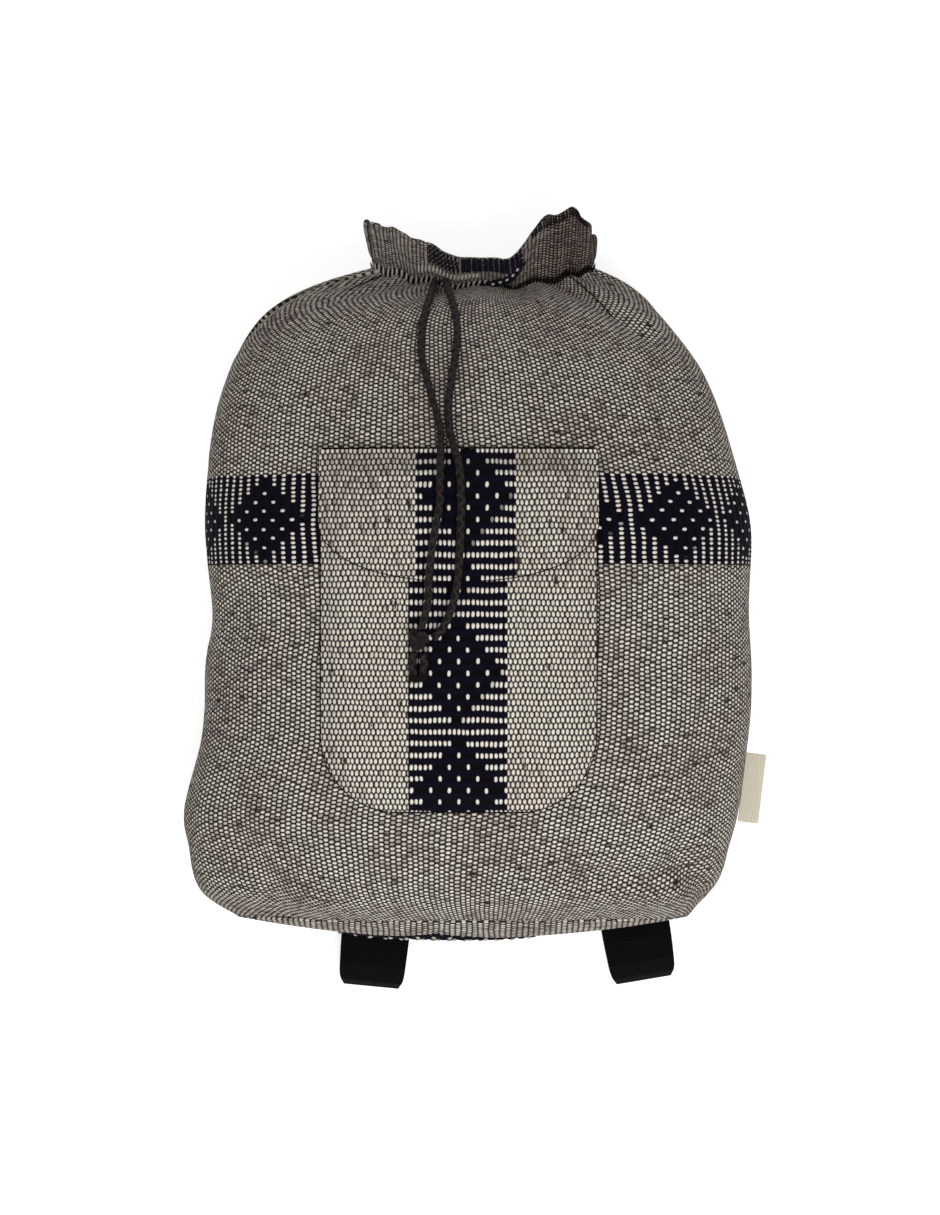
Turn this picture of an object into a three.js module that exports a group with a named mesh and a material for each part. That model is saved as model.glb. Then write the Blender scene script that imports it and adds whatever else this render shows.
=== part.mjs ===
// A hand-woven drawstring backpack, stuffed and lying on its back.
// Millimetres. +X runs to the right as the front is seen, +Y from the base to the mouth,
// +Z from the table to the front of the bag. The origin is the middle of the footprint.
import * as THREE from 'three';

// Cloth and sewing
const CLOTH = 2.2;
const SEAM_GAP = 0.7;
const TOUCH = 0.35;

// The sack: one station for each height that shapes the outline, from the base seam to the neck seam.
// left and right are the half widths, front and back the heights of the two faces over the table.
const STATIONS = [
  { y: -173.5, left: 131.0, right: 117.5, front: 106, back: 30 },
  { y: -160.0, left: 150.0, right: 131.0, front: 128, back: 12 },
  { y: -137.0, left: 156.5, right: 139.5, front: 139, back: 1 },
  { y: -115.4, left: 159.1, right: 145.5, front: 146, back: -4 },
  { y: -74.5, left: 149.0, right: 150.0, front: 153, back: -5 },
  { y: -36.0, left: 147.3, right: 151.0, front: 155, back: -5 },
  { y: -9.0, left: 143.3, right: 150.6, front: 156, back: -5 },
  { y: 40.0, left: 147.7, right: 150.4, front: 154, back: -5 },
  { y: 89.0, left: 143.9, right: 138.4, front: 143, back: -4 },
  { y: 121.7, left: 135.7, right: 125.9, front: 128, back: 0 },
  { y: 146.2, left: 123.6, right: 109.0, front: 110, back: 7 },
  { y: 162.5, left: 106.8, right: 95.9, front: 95, back: 16 },
  { y: 173.5, left: 84.0, right: 82.5, front: 82, back: 26 },
  { y: 182.0, left: 54.5, right: 64.5, front: 67, back: 38 },
];
const WIDEST_SHARE = 0.42;
const FRONT_FULLNESS = 2.5;
const BACK_FULLNESS = 3.4;
const NECK_DIP = 11;
const BACK_DIP = 8;
const NECK_DIP_STATIONS = 3;
const SEAM_FORWARD = 0.26;
const SEAM_FORWARD_STATIONS = 3.5;
const SEAM_PUCKER = 1.4;
const SEAM_PUCKER_REACH = 0.1;
const BASE_SAG = 12;

// The gathers that the drawstring makes under the neck
const GATHERS = 16;
const GATHER_DEPTH = 3.2;
const GATHER_STATIONS = 2.6;

// The woven band of diamonds that runs round the sack
const BAND_MIDDLE = 41;
const BAND_HEIGHT = 48.5;
const BAND_RELIEF = 0.5;
const DIAMOND_RELIEF = 0.9;
const DIAMONDS_ACROSS_FRONT = 7;

// How finely the cloth is faceted
const FRONT_COLUMNS = 36;
const BACK_COLUMNS = 28;
const WALL_ROWS = 26;
const BASE_RINGS = 3;

// Front pocket: a pouch and the flap that covers its mouth
const POCKET_LEFT = -80.5;
const POCKET_RIGHT = 63;
const POCKET_TOP = 77;
const POCKET_BOTTOM = -112.5;
const POCKET_CORNER = 40;
const POCKET_PUFF = 8.5;
const POCKET_EDGE_ROLL = 15;
const POUCH_MOUTH = 60;
const FLAP_STRAIGHT = 36;
const FLAP_DROP = 69;
const FLAP_CLOTH = 2.4;
const FLAP_OVERHANG = 1.2;
const FLAP_LIFT = 1.7;
const FLAP_ROUNDING = 2.2;
const POCKET_COLUMNS = 18;
const POUCH_ROWS = 18;
const FLAP_ROWS = 10;

// Drawstring casing: the collar round the neck
const CASING_THICKNESS = 5;
const CASING_CLEAR = 0.75;
const CASING_FRONT = 14;
const CASING_BACK = 11.5;
const CASING_LEFT = 25.5;
const CASING_RIGHT = 36;
const CASING_LEFT_RISE = 0.85;
const CASING_RIGHT_RISE = [0.15, 0.62];
const CASING_RIGHT_PEAK = 0.72;
const CASING_RIGHT_FALL = 19;
const CASING_LEFT_FLARE = 0.18;
const CASING_FRONT_FLARE = 0.45;
const RUFFLES = 16;
const RUFFLE_DEPTH = 1.3;

// Shoulder straps of flat webbing, each with a ladder-lock buckle
const WEBBING_WIDTH = 38;
const WEBBING = 1.8;
const ANCHOR_Y = 158;
const STRAP_REACH = 379;
const CLIMB = 48;
const LOOP_START = 3.2;
const LOOP_TOP = 26;
const BUCKLE_PLACE = 262;
const BUCKLE_BAR = 3.4;
const BUCKLE_SLOT = 5.2;
const BUCKLE_THICKNESS = 2.6;
const BUCKLE_SIDE = 3.4;
const BUCKLE_PLAY = 0.6;
const BUCKLE_WIDTH = WEBBING_WIDTH + 2 * (BUCKLE_PLAY + BUCKLE_SIDE);
const TAIL_LENGTH = 52;
const HEM_LENGTH = 24;
const FIRST_BAR = BUCKLE_PLACE - BUCKLE_BAR - BUCKLE_SLOT;
const BAR_HEIGHT = 2 * (WEBBING + TOUCH) + BUCKLE_THICKNESS / 2;
const STRAPS = [
  { name: 'left', x: -22, slant: -0.0965 },
  { name: 'right', x: 32, slant: 0.1676 },
];
const DENT_MARGIN = 10;
const DENT_BLEND = 11;

// From the middle of the sack's waist to the middle of the footprint, loops included
const FOOTPRINT_SHIFT = [-0.6, 3.9];

// Side tab
const TAB_LENGTH = 38;
const TAB_WIDTH = 11;
const TAB_RIBBON = 0.7;
const TAB_Y = -104;
const TAB_LEAN = -0.12;
const TAB_OUT = 0.4;

// Drawstring
const CORD_DIAMETER = 4.2;
const CORD_SIDES = 8;
const CORD_STEPS = 40;
const TAIL_STEPS = 4;
const KNOT_PLACE = [-29.5, -22.4, 171.2];
const KNOT_FLATNESS = 0.85;
const KNOT_LEAN = -0.3;
const CORD_LEFT = [
  [-21.8, 172.2, 71.9],
  [-22.6, 169.2, 74.7],
  [-23.0, 166.6, 81.5],
  [-23.6, 164.2, 90.0],
  [-24.4, 160.6, 96.7],
  [-25.6, 156.0, 104.0],
  [-27.3, 149.5, 110.2],
  [-28.4, 141.6, 117.2],
  [-28.6, 129.4, 126.2],
  [-25.8, 116.2, 134.1],
  [-21.9, 102.0, 140.9],
  [-18.4, 89.0, 145.8],
  [-18.0, 81.0, 148.9],
  [-17.9, 76.5, 154.2],
  [-18.0, 70.8, 160.9],
  [-18.1, 63.1, 166.5],
  [-18.3, 55.0, 169.3],
  [-18.4, 47.0, 170.8],
  [-21.6, 29.1, 172.8],
  [-24.0, 10.0, 173.7],
  [-24.4, -3.0, 172.2],
  [-27.7, -16.5, 171.3],
];
const CORD_RIGHT = [
  [-16.2, 172.2, 72.0],
  [-15.3, 169.2, 75.7],
  [-14.6, 166.6, 84.7],
  [-13.8, 164.2, 91.2],
  [-12.8, 160.6, 97.5],
  [-11.6, 156.0, 104.5],
  [-10.3, 149.5, 110.5],
  [-9.5, 141.6, 117.3],
  [-10.2, 129.4, 126.5],
  [-12.2, 116.2, 134.3],
  [-13.8, 102.0, 141.2],
  [-13.4, 89.0, 145.9],
  [-11.9, 81.0, 149.1],
  [-10.8, 76.5, 154.3],
  [-9.0, 70.8, 161.0],
  [-7.8, 63.1, 166.6],
  [-7.4, 55.0, 169.6],
  [-7.2, 47.0, 171.2],
  [-7.8, 29.1, 173.2],
  [-8.9, 10.0, 174.1],
  [-11.6, -4.0, 172.2],
  [-16.4, -15.6, 170.8],
  [-21.7, -21.9, 170.9],
];
const TAIL_LEFT = [
  [-31.5, -28.9, 169.9],
  [-32.3, -34.0, 168.6],
  [-32.0, -40.4, 168.2],
];
const TAIL_RIGHT = [
  [-26.8, -29.9, 169.8],
  [-26.4, -34.5, 168.6],
  [-27.0, -39.4, 168.2],
];

// Colours of the finished pieces
const WOVEN_GREY = 0x8a847c;
const WOVEN_CREAM = 0xb9b1a3;
const WOVEN_DARK = 0x5c5552;
const BLACK_WEBBING = 0x0d0b0d;
const BLACK_NYLON = 0x161316;
const BLACK_CORD = 0x17110f;
const CREAM_RIBBON = 0xe8dfc4;

function cloth(color) {
  return new THREE.MeshStandardMaterial({ color, roughness: 0.95, metalness: 0, side: THREE.DoubleSide });
}

function named(name, geometry, material) {
  const mesh = new THREE.Mesh(geometry, material);
  mesh.name = name;
  return mesh;
}

function clamp01(value) {
  return Math.min(1, Math.max(0, value));
}

// Rises smoothly from 0 at low to 1 at high.
function ease(value, low, high) {
  const share = clamp01((value - low) / (high - low));
  return share * share * (3 - 2 * share);
}

// 1 up to the flat limit, then smoothly down to 0 over the blend.
function fade(distance, flat, blend) {
  return 1 - ease(distance, flat, flat + blend);
}

// Sack surface

const LAST = STATIONS.length - 1;

// A station's measures between the listed ones, on a Catmull-Rom curve through them.
function stationAt(t) {
  const i = Math.min(LAST - 1, Math.max(0, Math.floor(t)));
  const f = t - i;
  const at = (k) => STATIONS[Math.min(LAST, Math.max(0, k))];
  const mix = (key) => {
    const [a, b, c, d] = [at(i - 1)[key], at(i)[key], at(i + 1)[key], at(i + 2)[key]];
    const [slope, bend, twist] = [c - a, 2 * a - 5 * b + 4 * c - d, 3 * b - a - 3 * c + d];
    return b + 0.5 * (slope * f + bend * f * f + twist * f ** 3);
  };
  const [y, left, right, front, back] = ['y', 'left', 'right', 'front', 'back'].map(mix);
  return {
    y,
    front,
    back,
    middle: (right - left) / 2,
    half: (right + left) / 2,
    widest: Math.max(back, 0) + (front - Math.max(back, 0)) * WIDEST_SHARE,
  };
}

// The place t among the stations whose height is y.
function stationOf(y) {
  let [low, high] = [0, LAST];
  for (let step = 0; step < 40; step += 1) {
    const t = (low + high) / 2;
    if (stationAt(t).y < y) low = t;
    else high = t;
  }
  return (low + high) / 2;
}

function signedPower(value, power) {
  return Math.sign(value) * Math.abs(value) ** power;
}

// How far the straps and buckles under the bag press into its back at a place on the table.
function dent(x, y) {
  let height = 0;
  for (const strap of STRAPS) {
    const [dx, dy] = [x - strap.x, y - ANCHOR_Y];
    const across = Math.abs(dx * Math.cos(strap.slant) + dy * Math.sin(strap.slant));
    const along = dx * Math.sin(strap.slant) - dy * Math.cos(strap.slant);
    const [first, last] = [FIRST_BAR - HEM_LENGTH, BUCKLE_PLACE + TAIL_LENGTH];
    const doubled = fade(Math.abs(along - (first + last) / 2), (last - first) / 2 + DENT_MARGIN, DENT_BLEND);
    const underStrap = fade(across, WEBBING_WIDTH / 2 + DENT_MARGIN, DENT_BLEND);
    const webbing = (WEBBING + TOUCH) * (1 + doubled) * underStrap;
    const reach = 1.5 * BUCKLE_BAR + BUCKLE_SLOT + DENT_MARGIN;
    const buckle = (BAR_HEIGHT + BUCKLE_THICKNESS / 2 + WEBBING + 2 * TOUCH)
      * fade(across, BUCKLE_WIDTH / 2 + DENT_MARGIN, DENT_BLEND)
      * fade(Math.abs(along - BUCKLE_PLACE), reach, DENT_BLEND);
    height = Math.max(height, webbing, buckle);
  }
  return height;
}

// The bare shape, before gathers and the woven relief. q is 0 on the front's middle line,
// 1 and -1 at the sides, and 2 and -2 on the back's middle line.
function sackBase(q, t) {
  const ring = stationAt(t);
  const angle = (q * Math.PI) / 2;
  const facing = Math.cos(angle);
  const fullness = facing >= 0 ? FRONT_FULLNESS : BACK_FULLNESS;
  const x = ring.middle + ring.half * signedPower(Math.sin(angle), 2 / fullness);
  const reach = facing >= 0 ? ring.front - ring.widest : ring.widest - ring.back;
  let z = ring.widest + reach * signedPower(facing, 2 / fullness);
  const neck = ease(t, LAST - NECK_DIP_STATIONS, LAST);
  const y = ring.y - (facing > 0 ? NECK_DIP : BACK_DIP) * neck * facing ** 2;
  if (facing < 0) z = Math.max(z, dent(x, y));
  return new THREE.Vector3(x, y, z);
}

function sackNormal(q, t) {
  const step = 1e-3;
  const [tLow, tHigh] = [Math.max(0, t - step), Math.min(LAST, t + step)];
  const around = sackBase(q + step, t).sub(sackBase(q - step, t));
  const along = sackBase(q, tHigh).sub(sackBase(q, tLow));
  return new THREE.Vector3().crossVectors(along, around).normalize().negate();
}

// Where the side seams run: at the widest place, and forward of it under the neck.
function seamAt(t) {
  return 1 - SEAM_FORWARD * ease(t, LAST - SEAM_FORWARD_STATIONS, LAST);
}

// Height of the woven relief over the bare cloth, with p from -1 to 1 across a panel.
function bandRelief(p, y, diamonds) {
  const up = (y - BAND_MIDDLE) / (BAND_HEIGHT / 2);
  if (Math.abs(up) > 1) return 0;
  const turn = (p * diamonds) / 2;
  const aside = 2 * Math.abs(turn - Math.round(turn));
  return BAND_RELIEF + DIAMOND_RELIEF * ease(1 - aside - Math.abs(up), 0, 0.5);
}

function gather(q, t) {
  const depth = GATHER_DEPTH * ease(t, LAST - GATHER_STATIONS, LAST);
  return (depth * (Math.cos((q * GATHERS * Math.PI) / 2) - 1)) / 2;
}

function behindPocket(x, y) {
  const inside = x > POCKET_LEFT - 12 && x < POCKET_RIGHT + 12;
  return inside && y > POCKET_BOTTOM && y < POCKET_TOP + 8;
}

// The sack's outer face at (q, t), moved out by the given distance along its normal.
function sackPoint(q, t, out, p, diamonds) {
  const base = sackBase(q, t);
  const pucker = -SEAM_PUCKER * fade(Math.abs(Math.abs(q) - seamAt(t)), 0, SEAM_PUCKER_REACH);
  const relief = behindPocket(base.x, base.y) && Math.abs(q) < 1 ? 0 : bandRelief(p, base.y, diamonds);
  const floor = Math.abs(q) > 1 && base.z < CLOTH ? 0 : 1;
  const lift = (pucker + relief + gather(q, t)) * floor;
  return base.addScaledVector(sackNormal(q, t), lift + out);
}

// Values of q that divide the stretch of a ring from qLow to qHigh into equal lengths of cloth.
function equalSteps(t, qLow, qHigh, count) {
  const samples = 160;
  const lengths = [0];
  let before = sackBase(qLow, t);
  for (let i = 1; i <= samples; i += 1) {
    const here = sackBase(qLow + ((qHigh - qLow) * i) / samples, t);
    lengths.push(lengths[i - 1] + here.distanceTo(before));
    before = here;
  }
  const total = lengths[samples];
  const steps = [];
  for (let k = 0; k <= count; k += 1) {
    const wanted = SEAM_GAP / 2 + ((total - SEAM_GAP) * k) / count;
    const i = Math.max(1, lengths.findIndex((length) => length >= wanted));
    const part = (wanted - lengths[i - 1]) / (lengths[i] - lengths[i - 1]);
    steps.push(qLow + ((qHigh - qLow) * (i - 1 + part)) / samples);
  }
  return steps;
}

// Rows of the wall: of one height, with four close rows at the edges of the woven band.
function wallRows() {
  const [low, high] = [STATIONS[0].y, STATIONS[LAST].y];
  const [bandLow, bandHigh] = [BAND_MIDDLE - BAND_HEIGHT / 2, BAND_MIDDLE + BAND_HEIGHT / 2];
  const rows = [0.03, LAST - 0.03];
  for (let k = 1; k < WALL_ROWS; k += 1) {
    const y = low + ((high - low) * k) / WALL_ROWS;
    if (Math.min(Math.abs(y - bandLow), Math.abs(y - bandHigh)) > 4) rows.push(stationOf(y));
  }
  for (const edge of [bandLow, bandHigh]) rows.push(stationOf(edge - 0.6), stationOf(edge + 0.6));
  return rows.sort((a, b) => a - b);
}

// Geometry from points and triangles of indices

function meshOf(points, triangles) {
  const geometry = new THREE.BufferGeometry();
  const positions = points.flatMap((point) => [point.x, point.y, point.z]);
  geometry.setAttribute('position', new THREE.Float32BufferAttribute(positions, 3));
  geometry.setIndex(triangles);
  geometry.computeVertexNormals();
  return geometry;
}

// A sheet of cloth: two grids of points, its outer and its inner face, closed all round its edge.
function sheetSolid(outer, inner) {
  const [rows, columns] = [outer.length, outer[0].length];
  const points = [...outer.flat(), ...inner.flat()];
  const back = rows * columns;
  const at = (row, column) => row * columns + column;
  const triangles = [];
  const quad = (a, b, c, d) => triangles.push(a, b, c, a, c, d);
  for (let r = 0; r + 1 < rows; r += 1) {
    for (let c = 0; c + 1 < columns; c += 1) {
      const [a, b, d, e] = [at(r, c), at(r, c + 1), at(r + 1, c + 1), at(r + 1, c)];
      quad(a, b, d, e);
      quad(back + e, back + d, back + b, back + a);
    }
    quad(at(r, 0), at(r + 1, 0), back + at(r + 1, 0), back + at(r, 0));
    const end = columns - 1;
    quad(at(r + 1, end), at(r, end), back + at(r, end), back + at(r + 1, end));
  }
  for (let c = 0; c + 1 < columns; c += 1) {
    quad(at(0, c + 1), at(0, c), back + at(0, c), back + at(0, c + 1));
    const end = rows - 1;
    quad(at(end, c), at(end, c + 1), back + at(end, c + 1), back + at(end, c));
  }
  return meshOf(points, triangles);
}

// A closed ring: equal sections of points, each joined to the next and the last to the first.
function ringSolid(sections) {
  const count = sections[0].length;
  const triangles = [];
  sections.forEach((section, s) => {
    const next = ((s + 1) % sections.length) * count;
    for (let i = 0; i < count; i += 1) {
      const j = (i + 1) % count;
      triangles.push(s * count + i, next + j, s * count + j, s * count + i, next + i, next + j);
    }
  });
  return meshOf(sections.flat(), triangles);
}

// Sack panels

function wallPanel(columns, limits, diamonds) {
  const [outer, inner] = [[], []];
  for (const t of wallRows()) {
    const [qLow, qHigh] = limits(t);
    const steps = equalSteps(t, qLow, qHigh, columns);
    const share = (k) => (2 * k) / columns - 1;
    outer.push(steps.map((q, k) => sackPoint(q, t, 0, share(k), diamonds)));
    inner.push(steps.map((q, k) => sackPoint(q, t, -CLOTH, share(k), diamonds)));
  }
  return sheetSolid(outer, inner);
}

const frontLimits = (t) => [-seamAt(t), seamAt(t)];
const backLimits = (t) => [seamAt(t), 4 - seamAt(t)];

// Places of both panels' columns round a ring.
function columnsRound(t) {
  const ofFront = equalSteps(t, ...frontLimits(t), FRONT_COLUMNS);
  return [...ofFront, ...equalSteps(t, ...backLimits(t), BACK_COLUMNS)];
}

function frontPanel() {
  const geometry = wallPanel(FRONT_COLUMNS, frontLimits, DIAMONDS_ACROSS_FRONT);
  return named('front_panel', geometry, cloth(WOVEN_GREY));
}

function backPanel() {
  const geometry = wallPanel(BACK_COLUMNS, backLimits, DIAMONDS_ACROSS_FRONT);
  return named('back_panel', geometry, cloth(WOVEN_DARK));
}

// The oval base: rings of points shrinking to its middle, which sags out of the seam.
function basePanel() {
  const around = columnsRound(0);
  const ring = stationAt(0);
  const middle = new THREE.Vector3(ring.middle, ring.y - SEAM_GAP / 2, (ring.front + ring.back) / 2);
  const rimShare = 1 - SEAM_GAP / 2 / ring.half;
  const face = (out) => {
    const points = [];
    for (let r = 0; r < BASE_RINGS; r += 1) {
      const share = rimShare * (1 - r / BASE_RINGS);
      for (const q of around) {
        const rim = sackPoint(q, 0, 0, 0, DIAMONDS_ACROSS_FRONT);
        const point = rim.clone().setY(middle.y).sub(middle).multiplyScalar(share).add(middle);
        point.y -= BASE_SAG * (1 - (share / rimShare) ** 2);
        const lean = new THREE.Vector3(0, -1, 0).lerp(sackNormal(q, 0), r === 0 ? 1 : 0).normalize();
        points.push(point.addScaledVector(lean, out));
      }
    }
    const pole = middle.clone();
    pole.y -= BASE_SAG + out;
    return [...points, pole];
  };
  const [outer, inner] = [face(0), face(-CLOTH)];
  const count = around.length;
  const pole = count * BASE_RINGS;
  const triangles = [];
  const both = (a, b, c) => triangles.push(a, b, c, outer.length + a, outer.length + c, outer.length + b);
  for (let i = 0; i < count; i += 1) {
    const j = (i + 1) % count;
    for (let r = 0; r + 1 < BASE_RINGS; r += 1) {
      both(r * count + i, (r + 1) * count + j, r * count + j);
      both(r * count + i, (r + 1) * count + i, (r + 1) * count + j);
    }
    const last = (BASE_RINGS - 1) * count;
    both(last + i, pole, last + j);
    triangles.push(i, j, outer.length + j, i, outer.length + j, outer.length + i);
  }
  return named('base_panel', meshOf([...outer, ...inner], triangles), cloth(WOVEN_GREY));
}

// How far the casing has risen to its left or right end, and how tall it is there,
// for a place from -1 to 1 across the neck.
function casingEnds(aside) {
  if (aside < 0) return [ease(-aside, 0, CASING_LEFT_RISE), CASING_LEFT];
  const past = clamp01((aside - CASING_RIGHT_PEAK) / (1 - CASING_RIGHT_PEAK));
  return [ease(aside, ...CASING_RIGHT_RISE), CASING_RIGHT - CASING_RIGHT_FALL * past ** 2];
}

// Drawstring casing: a folded hem that stands round the neck and rises at both ends
function casing() {
  const neck = stationAt(LAST);
  const side = [[0, 0.3], [0.12, 0.5], [0.5, 0.5], [0.88, 0.5], [1, 0.25]];
  const outline = [...side, ...side.map(([up, over]) => [up, -over]).reverse()];
  const sections = [];
  for (const q of columnsRound(LAST)) {
    const facing = Math.cos((q * Math.PI) / 2);
    const foot = sackPoint(q, LAST, -CLOTH / 2, 0, DIAMONDS_ACROSS_FRONT);
    const around = sackBase(q + 0.02, LAST).sub(sackBase(q - 0.02, LAST));
    const outward = new THREE.Vector3(-around.z, 0, around.x).normalize();
    const aside = (sackBase(q, LAST).x - neck.middle) / neck.half;
    const [ends, peak] = casingEnds(aside);
    const height = peak * ends + (facing > 0 ? CASING_FRONT : CASING_BACK) * (1 - ends);
    const leftFlare = aside < 0 ? CASING_LEFT_FLARE * ends : 0;
    const flare = leftFlare + CASING_FRONT_FLARE * Math.max(0, facing) ** 2;
    const rise = new THREE.Vector3(0, Math.cos(flare), 0).addScaledVector(outward, Math.sin(flare));
    const across = outward.clone().multiplyScalar(Math.cos(flare)).setY(-Math.sin(flare));
    const clear = TOUCH + CASING_CLEAR * CLOTH + 0.3 * CASING_THICKNESS * Math.sin(flare);
    const wave = RUFFLE_DEPTH * Math.cos(q * RUFFLES * Math.PI / 2);
    sections.push(outline.map(([up, over]) => foot.clone()
      .addScaledVector(rise, clear + up * height)
      .addScaledVector(across, over * CASING_THICKNESS + up * wave)));
  }
  return named('drawstring_casing', ringSolid(sections), cloth(WOVEN_DARK));
}

// Front pocket

// Height of the front's cloth at a place under the pocket.
function frontHeight(x, y) {
  const ring = stationAt(stationOf(y));
  const aside = clamp01(Math.abs(x - ring.middle) / ring.half);
  return ring.widest + (ring.front - ring.widest) * (1 - aside ** FRONT_FULLNESS) ** (1 / FRONT_FULLNESS);
}

const POCKET_MIDDLE = (POCKET_LEFT + POCKET_RIGHT) / 2;
const POCKET_HALF = (POCKET_RIGHT - POCKET_LEFT) / 2;

// Half of the pouch's width at a height, drawn in round its bottom corners.
function pouchHalf(y) {
  const into = POCKET_BOTTOM + POCKET_CORNER - y;
  if (into <= 0) return POCKET_HALF;
  return POCKET_HALF - POCKET_CORNER + Math.sqrt(Math.max(0, POCKET_CORNER ** 2 - into ** 2));
}

// Height of the pouch's stuffed face over its sewn edge.
function puff(x, y) {
  const edge = Math.min(pouchHalf(y) - Math.abs(x - POCKET_MIDDLE), y - POCKET_BOTTOM);
  return POCKET_PUFF * Math.sin((clamp01(edge / POCKET_EDGE_ROLL) * Math.PI) / 2);
}

// Shares from -1 to 1 across the pocket, closer together at its sides.
function pocketColumns() {
  const columns = [];
  for (let c = 0; c <= POCKET_COLUMNS; c += 1) {
    columns.push(Math.sin(((2 * c) / POCKET_COLUMNS - 1) * (Math.PI / 2)));
  }
  return columns;
}

function pouch() {
  const [outer, inner] = [[], []];
  for (let r = 0; r <= POUCH_ROWS; r += 1) {
    const share = 0.012 + (0.988 * r) / POUCH_ROWS;
    const y = POCKET_BOTTOM + (POUCH_MOUTH - POCKET_BOTTOM) * share ** 1.35;
    const top = pocketColumns().map((column) => {
      const x = POCKET_MIDDLE + pouchHalf(y) * column;
      return new THREE.Vector3(x, y, frontHeight(x, y) + 1.3 * TOUCH + CLOTH + puff(x, y));
    });
    outer.push(top);
    inner.push(top.map((point) => point.clone().setZ(point.z - CLOTH)));
  }
  return named('pocket_pouch', sheetSolid(outer, inner), cloth(WOVEN_CREAM));
}

// Half of the flap's width at a distance below its top seam: straight sides, then a round lower edge.
function flapHalf(drop) {
  const into = clamp01((drop - FLAP_STRAIGHT) / (FLAP_DROP - FLAP_STRAIGHT));
  return (POCKET_HALF + FLAP_OVERHANG) * (1 - into ** FLAP_ROUNDING) ** (1 / FLAP_ROUNDING);
}

// Sewn down on the front along its top, then lying over the pouch.
function flap() {
  const [outer, inner] = [[], []];
  for (let r = FLAP_ROWS; r >= 0; r -= 1) {
    const drop = FLAP_DROP * Math.sin(((r / FLAP_ROWS) * 0.96 * Math.PI) / 2);
    const y = POCKET_TOP - drop;
    const over = ease(drop, 0, POCKET_TOP - POUCH_MOUTH - 2);
    const under = pocketColumns().map((column) => {
      const x = POCKET_MIDDLE + flapHalf(drop) * column;
      const held = CLOTH + FLAP_LIFT + puff(x, Math.min(y, POUCH_MOUTH));
      return new THREE.Vector3(x, y, frontHeight(x, y) + TOUCH + held * over);
    });
    inner.push(under);
    outer.push(under.map((point) => point.clone().setZ(point.z + FLAP_CLOTH)));
  }
  return named('pocket_flap', sheetSolid(outer, inner), cloth(WOVEN_CREAM));
}

// Straps. Each lies in a frame of its own: the origin at the upper anchor, -Y down the strap.

const ON_TABLE = WEBBING / 2;
const LAYER = WEBBING + TOUCH;

// A flat band: its side view is a path of [down the strap, height] points along its middle.
function band(path, thickness, width) {
  const points = path.map(([down, height]) => new THREE.Vector2(-down, height));
  const [one, other] = [[], []];
  points.forEach((point, i) => {
    const before = points[Math.max(0, i - 1)];
    const after = points[Math.min(points.length - 1, i + 1)];
    const way = after.clone().sub(before).normalize().multiplyScalar(thickness / 2);
    one.push(new THREE.Vector2(point.x - way.y, point.y + way.x));
    other.push(new THREE.Vector2(point.x + way.y, point.y - way.x));
  });
  const outline = new THREE.Shape([...one, ...other.reverse()]);
  const geometry = new THREE.ExtrudeGeometry(outline, { depth: width, bevelEnabled: false });
  geometry.translate(0, 0, -width / 2);
  const upright = new THREE.Matrix4().makeBasis(
    new THREE.Vector3(0, 1, 0),
    new THREE.Vector3(0, 0, 1),
    new THREE.Vector3(1, 0, 0),
  );
  return geometry.applyMatrix4(upright);
}

function placeStrap(geometry, strap) {
  return geometry.rotateZ(strap.slant).translate(strap.x, ANCHOR_Y, 0);
}

// Lowest height of the back's cloth across the strap at a distance down it.
function backOver(strap, down) {
  const heights = [-0.5, -0.25, 0, 0.25, 0.5].map((share) => {
    const across = share * WEBBING_WIDTH;
    const x = strap.x + across * Math.cos(strap.slant) + down * Math.sin(strap.slant);
    const y = ANCHOR_Y + across * Math.sin(strap.slant) - down * Math.cos(strap.slant);
    const ring = stationAt(stationOf(y));
    const aside = clamp01(Math.abs(x - ring.middle) / ring.half);
    return ring.widest - (ring.widest - ring.back) * (1 - aside ** BACK_FULLNESS) ** (1 / BACK_FULLNESS);
  });
  return Math.min(...heights);
}

// Places round a bar's corner, as seen from the side, from its end towards its top or underside:
// toward is 1 or -1 down the strap, up is 1 or -1.
function roundCorner(place, toward, up) {
  const radius = TOUCH + WEBBING / 2;
  const angles = [0, Math.PI / 4, Math.PI / 2];
  return angles.map((angle) => [
    place + toward * (BUCKLE_BAR / 2 + radius * Math.cos(angle)),
    BAR_HEIGHT + up * (BUCKLE_THICKNESS / 2 + radius * Math.sin(angle)),
  ]);
}

// From its sewn top down the back to the buckle's first bar, round it, and sewn to itself.
function upperStrap(strap) {
  const climb = [];
  for (let down = 0; down <= CLIMB; down += CLIMB / 12) {
    climb.push([down, Math.max(ON_TABLE, backOver(strap, down) - TOUCH - 1.6 * ON_TABLE)]);
  }
  const path = [
    ...climb,
    [FIRST_BAR - 20, ON_TABLE],
    [FIRST_BAR - 7, ON_TABLE + 0.5 * LAYER],
    [FIRST_BAR - 3, ON_TABLE + LAYER],
    ...roundCorner(FIRST_BAR, 1, -1).reverse(),
    ...roundCorner(FIRST_BAR, 1, 1),
    ...roundCorner(FIRST_BAR, -1, 1).reverse().slice(0, 2),
    [FIRST_BAR - 6.5, ON_TABLE + 2.3 * LAYER],
    [FIRST_BAR - 11, ON_TABLE + 1.5 * LAYER],
    [FIRST_BAR - 18, ON_TABLE + LAYER + 0.2],
    [FIRST_BAR - HEM_LENGTH, ON_TABLE + LAYER],
  ];
  const geometry = placeStrap(band(path, WEBBING, WEBBING_WIDTH), strap);
  return named(`upper_strap_${strap.name}`, geometry, cloth(BLACK_WEBBING));
}

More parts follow.
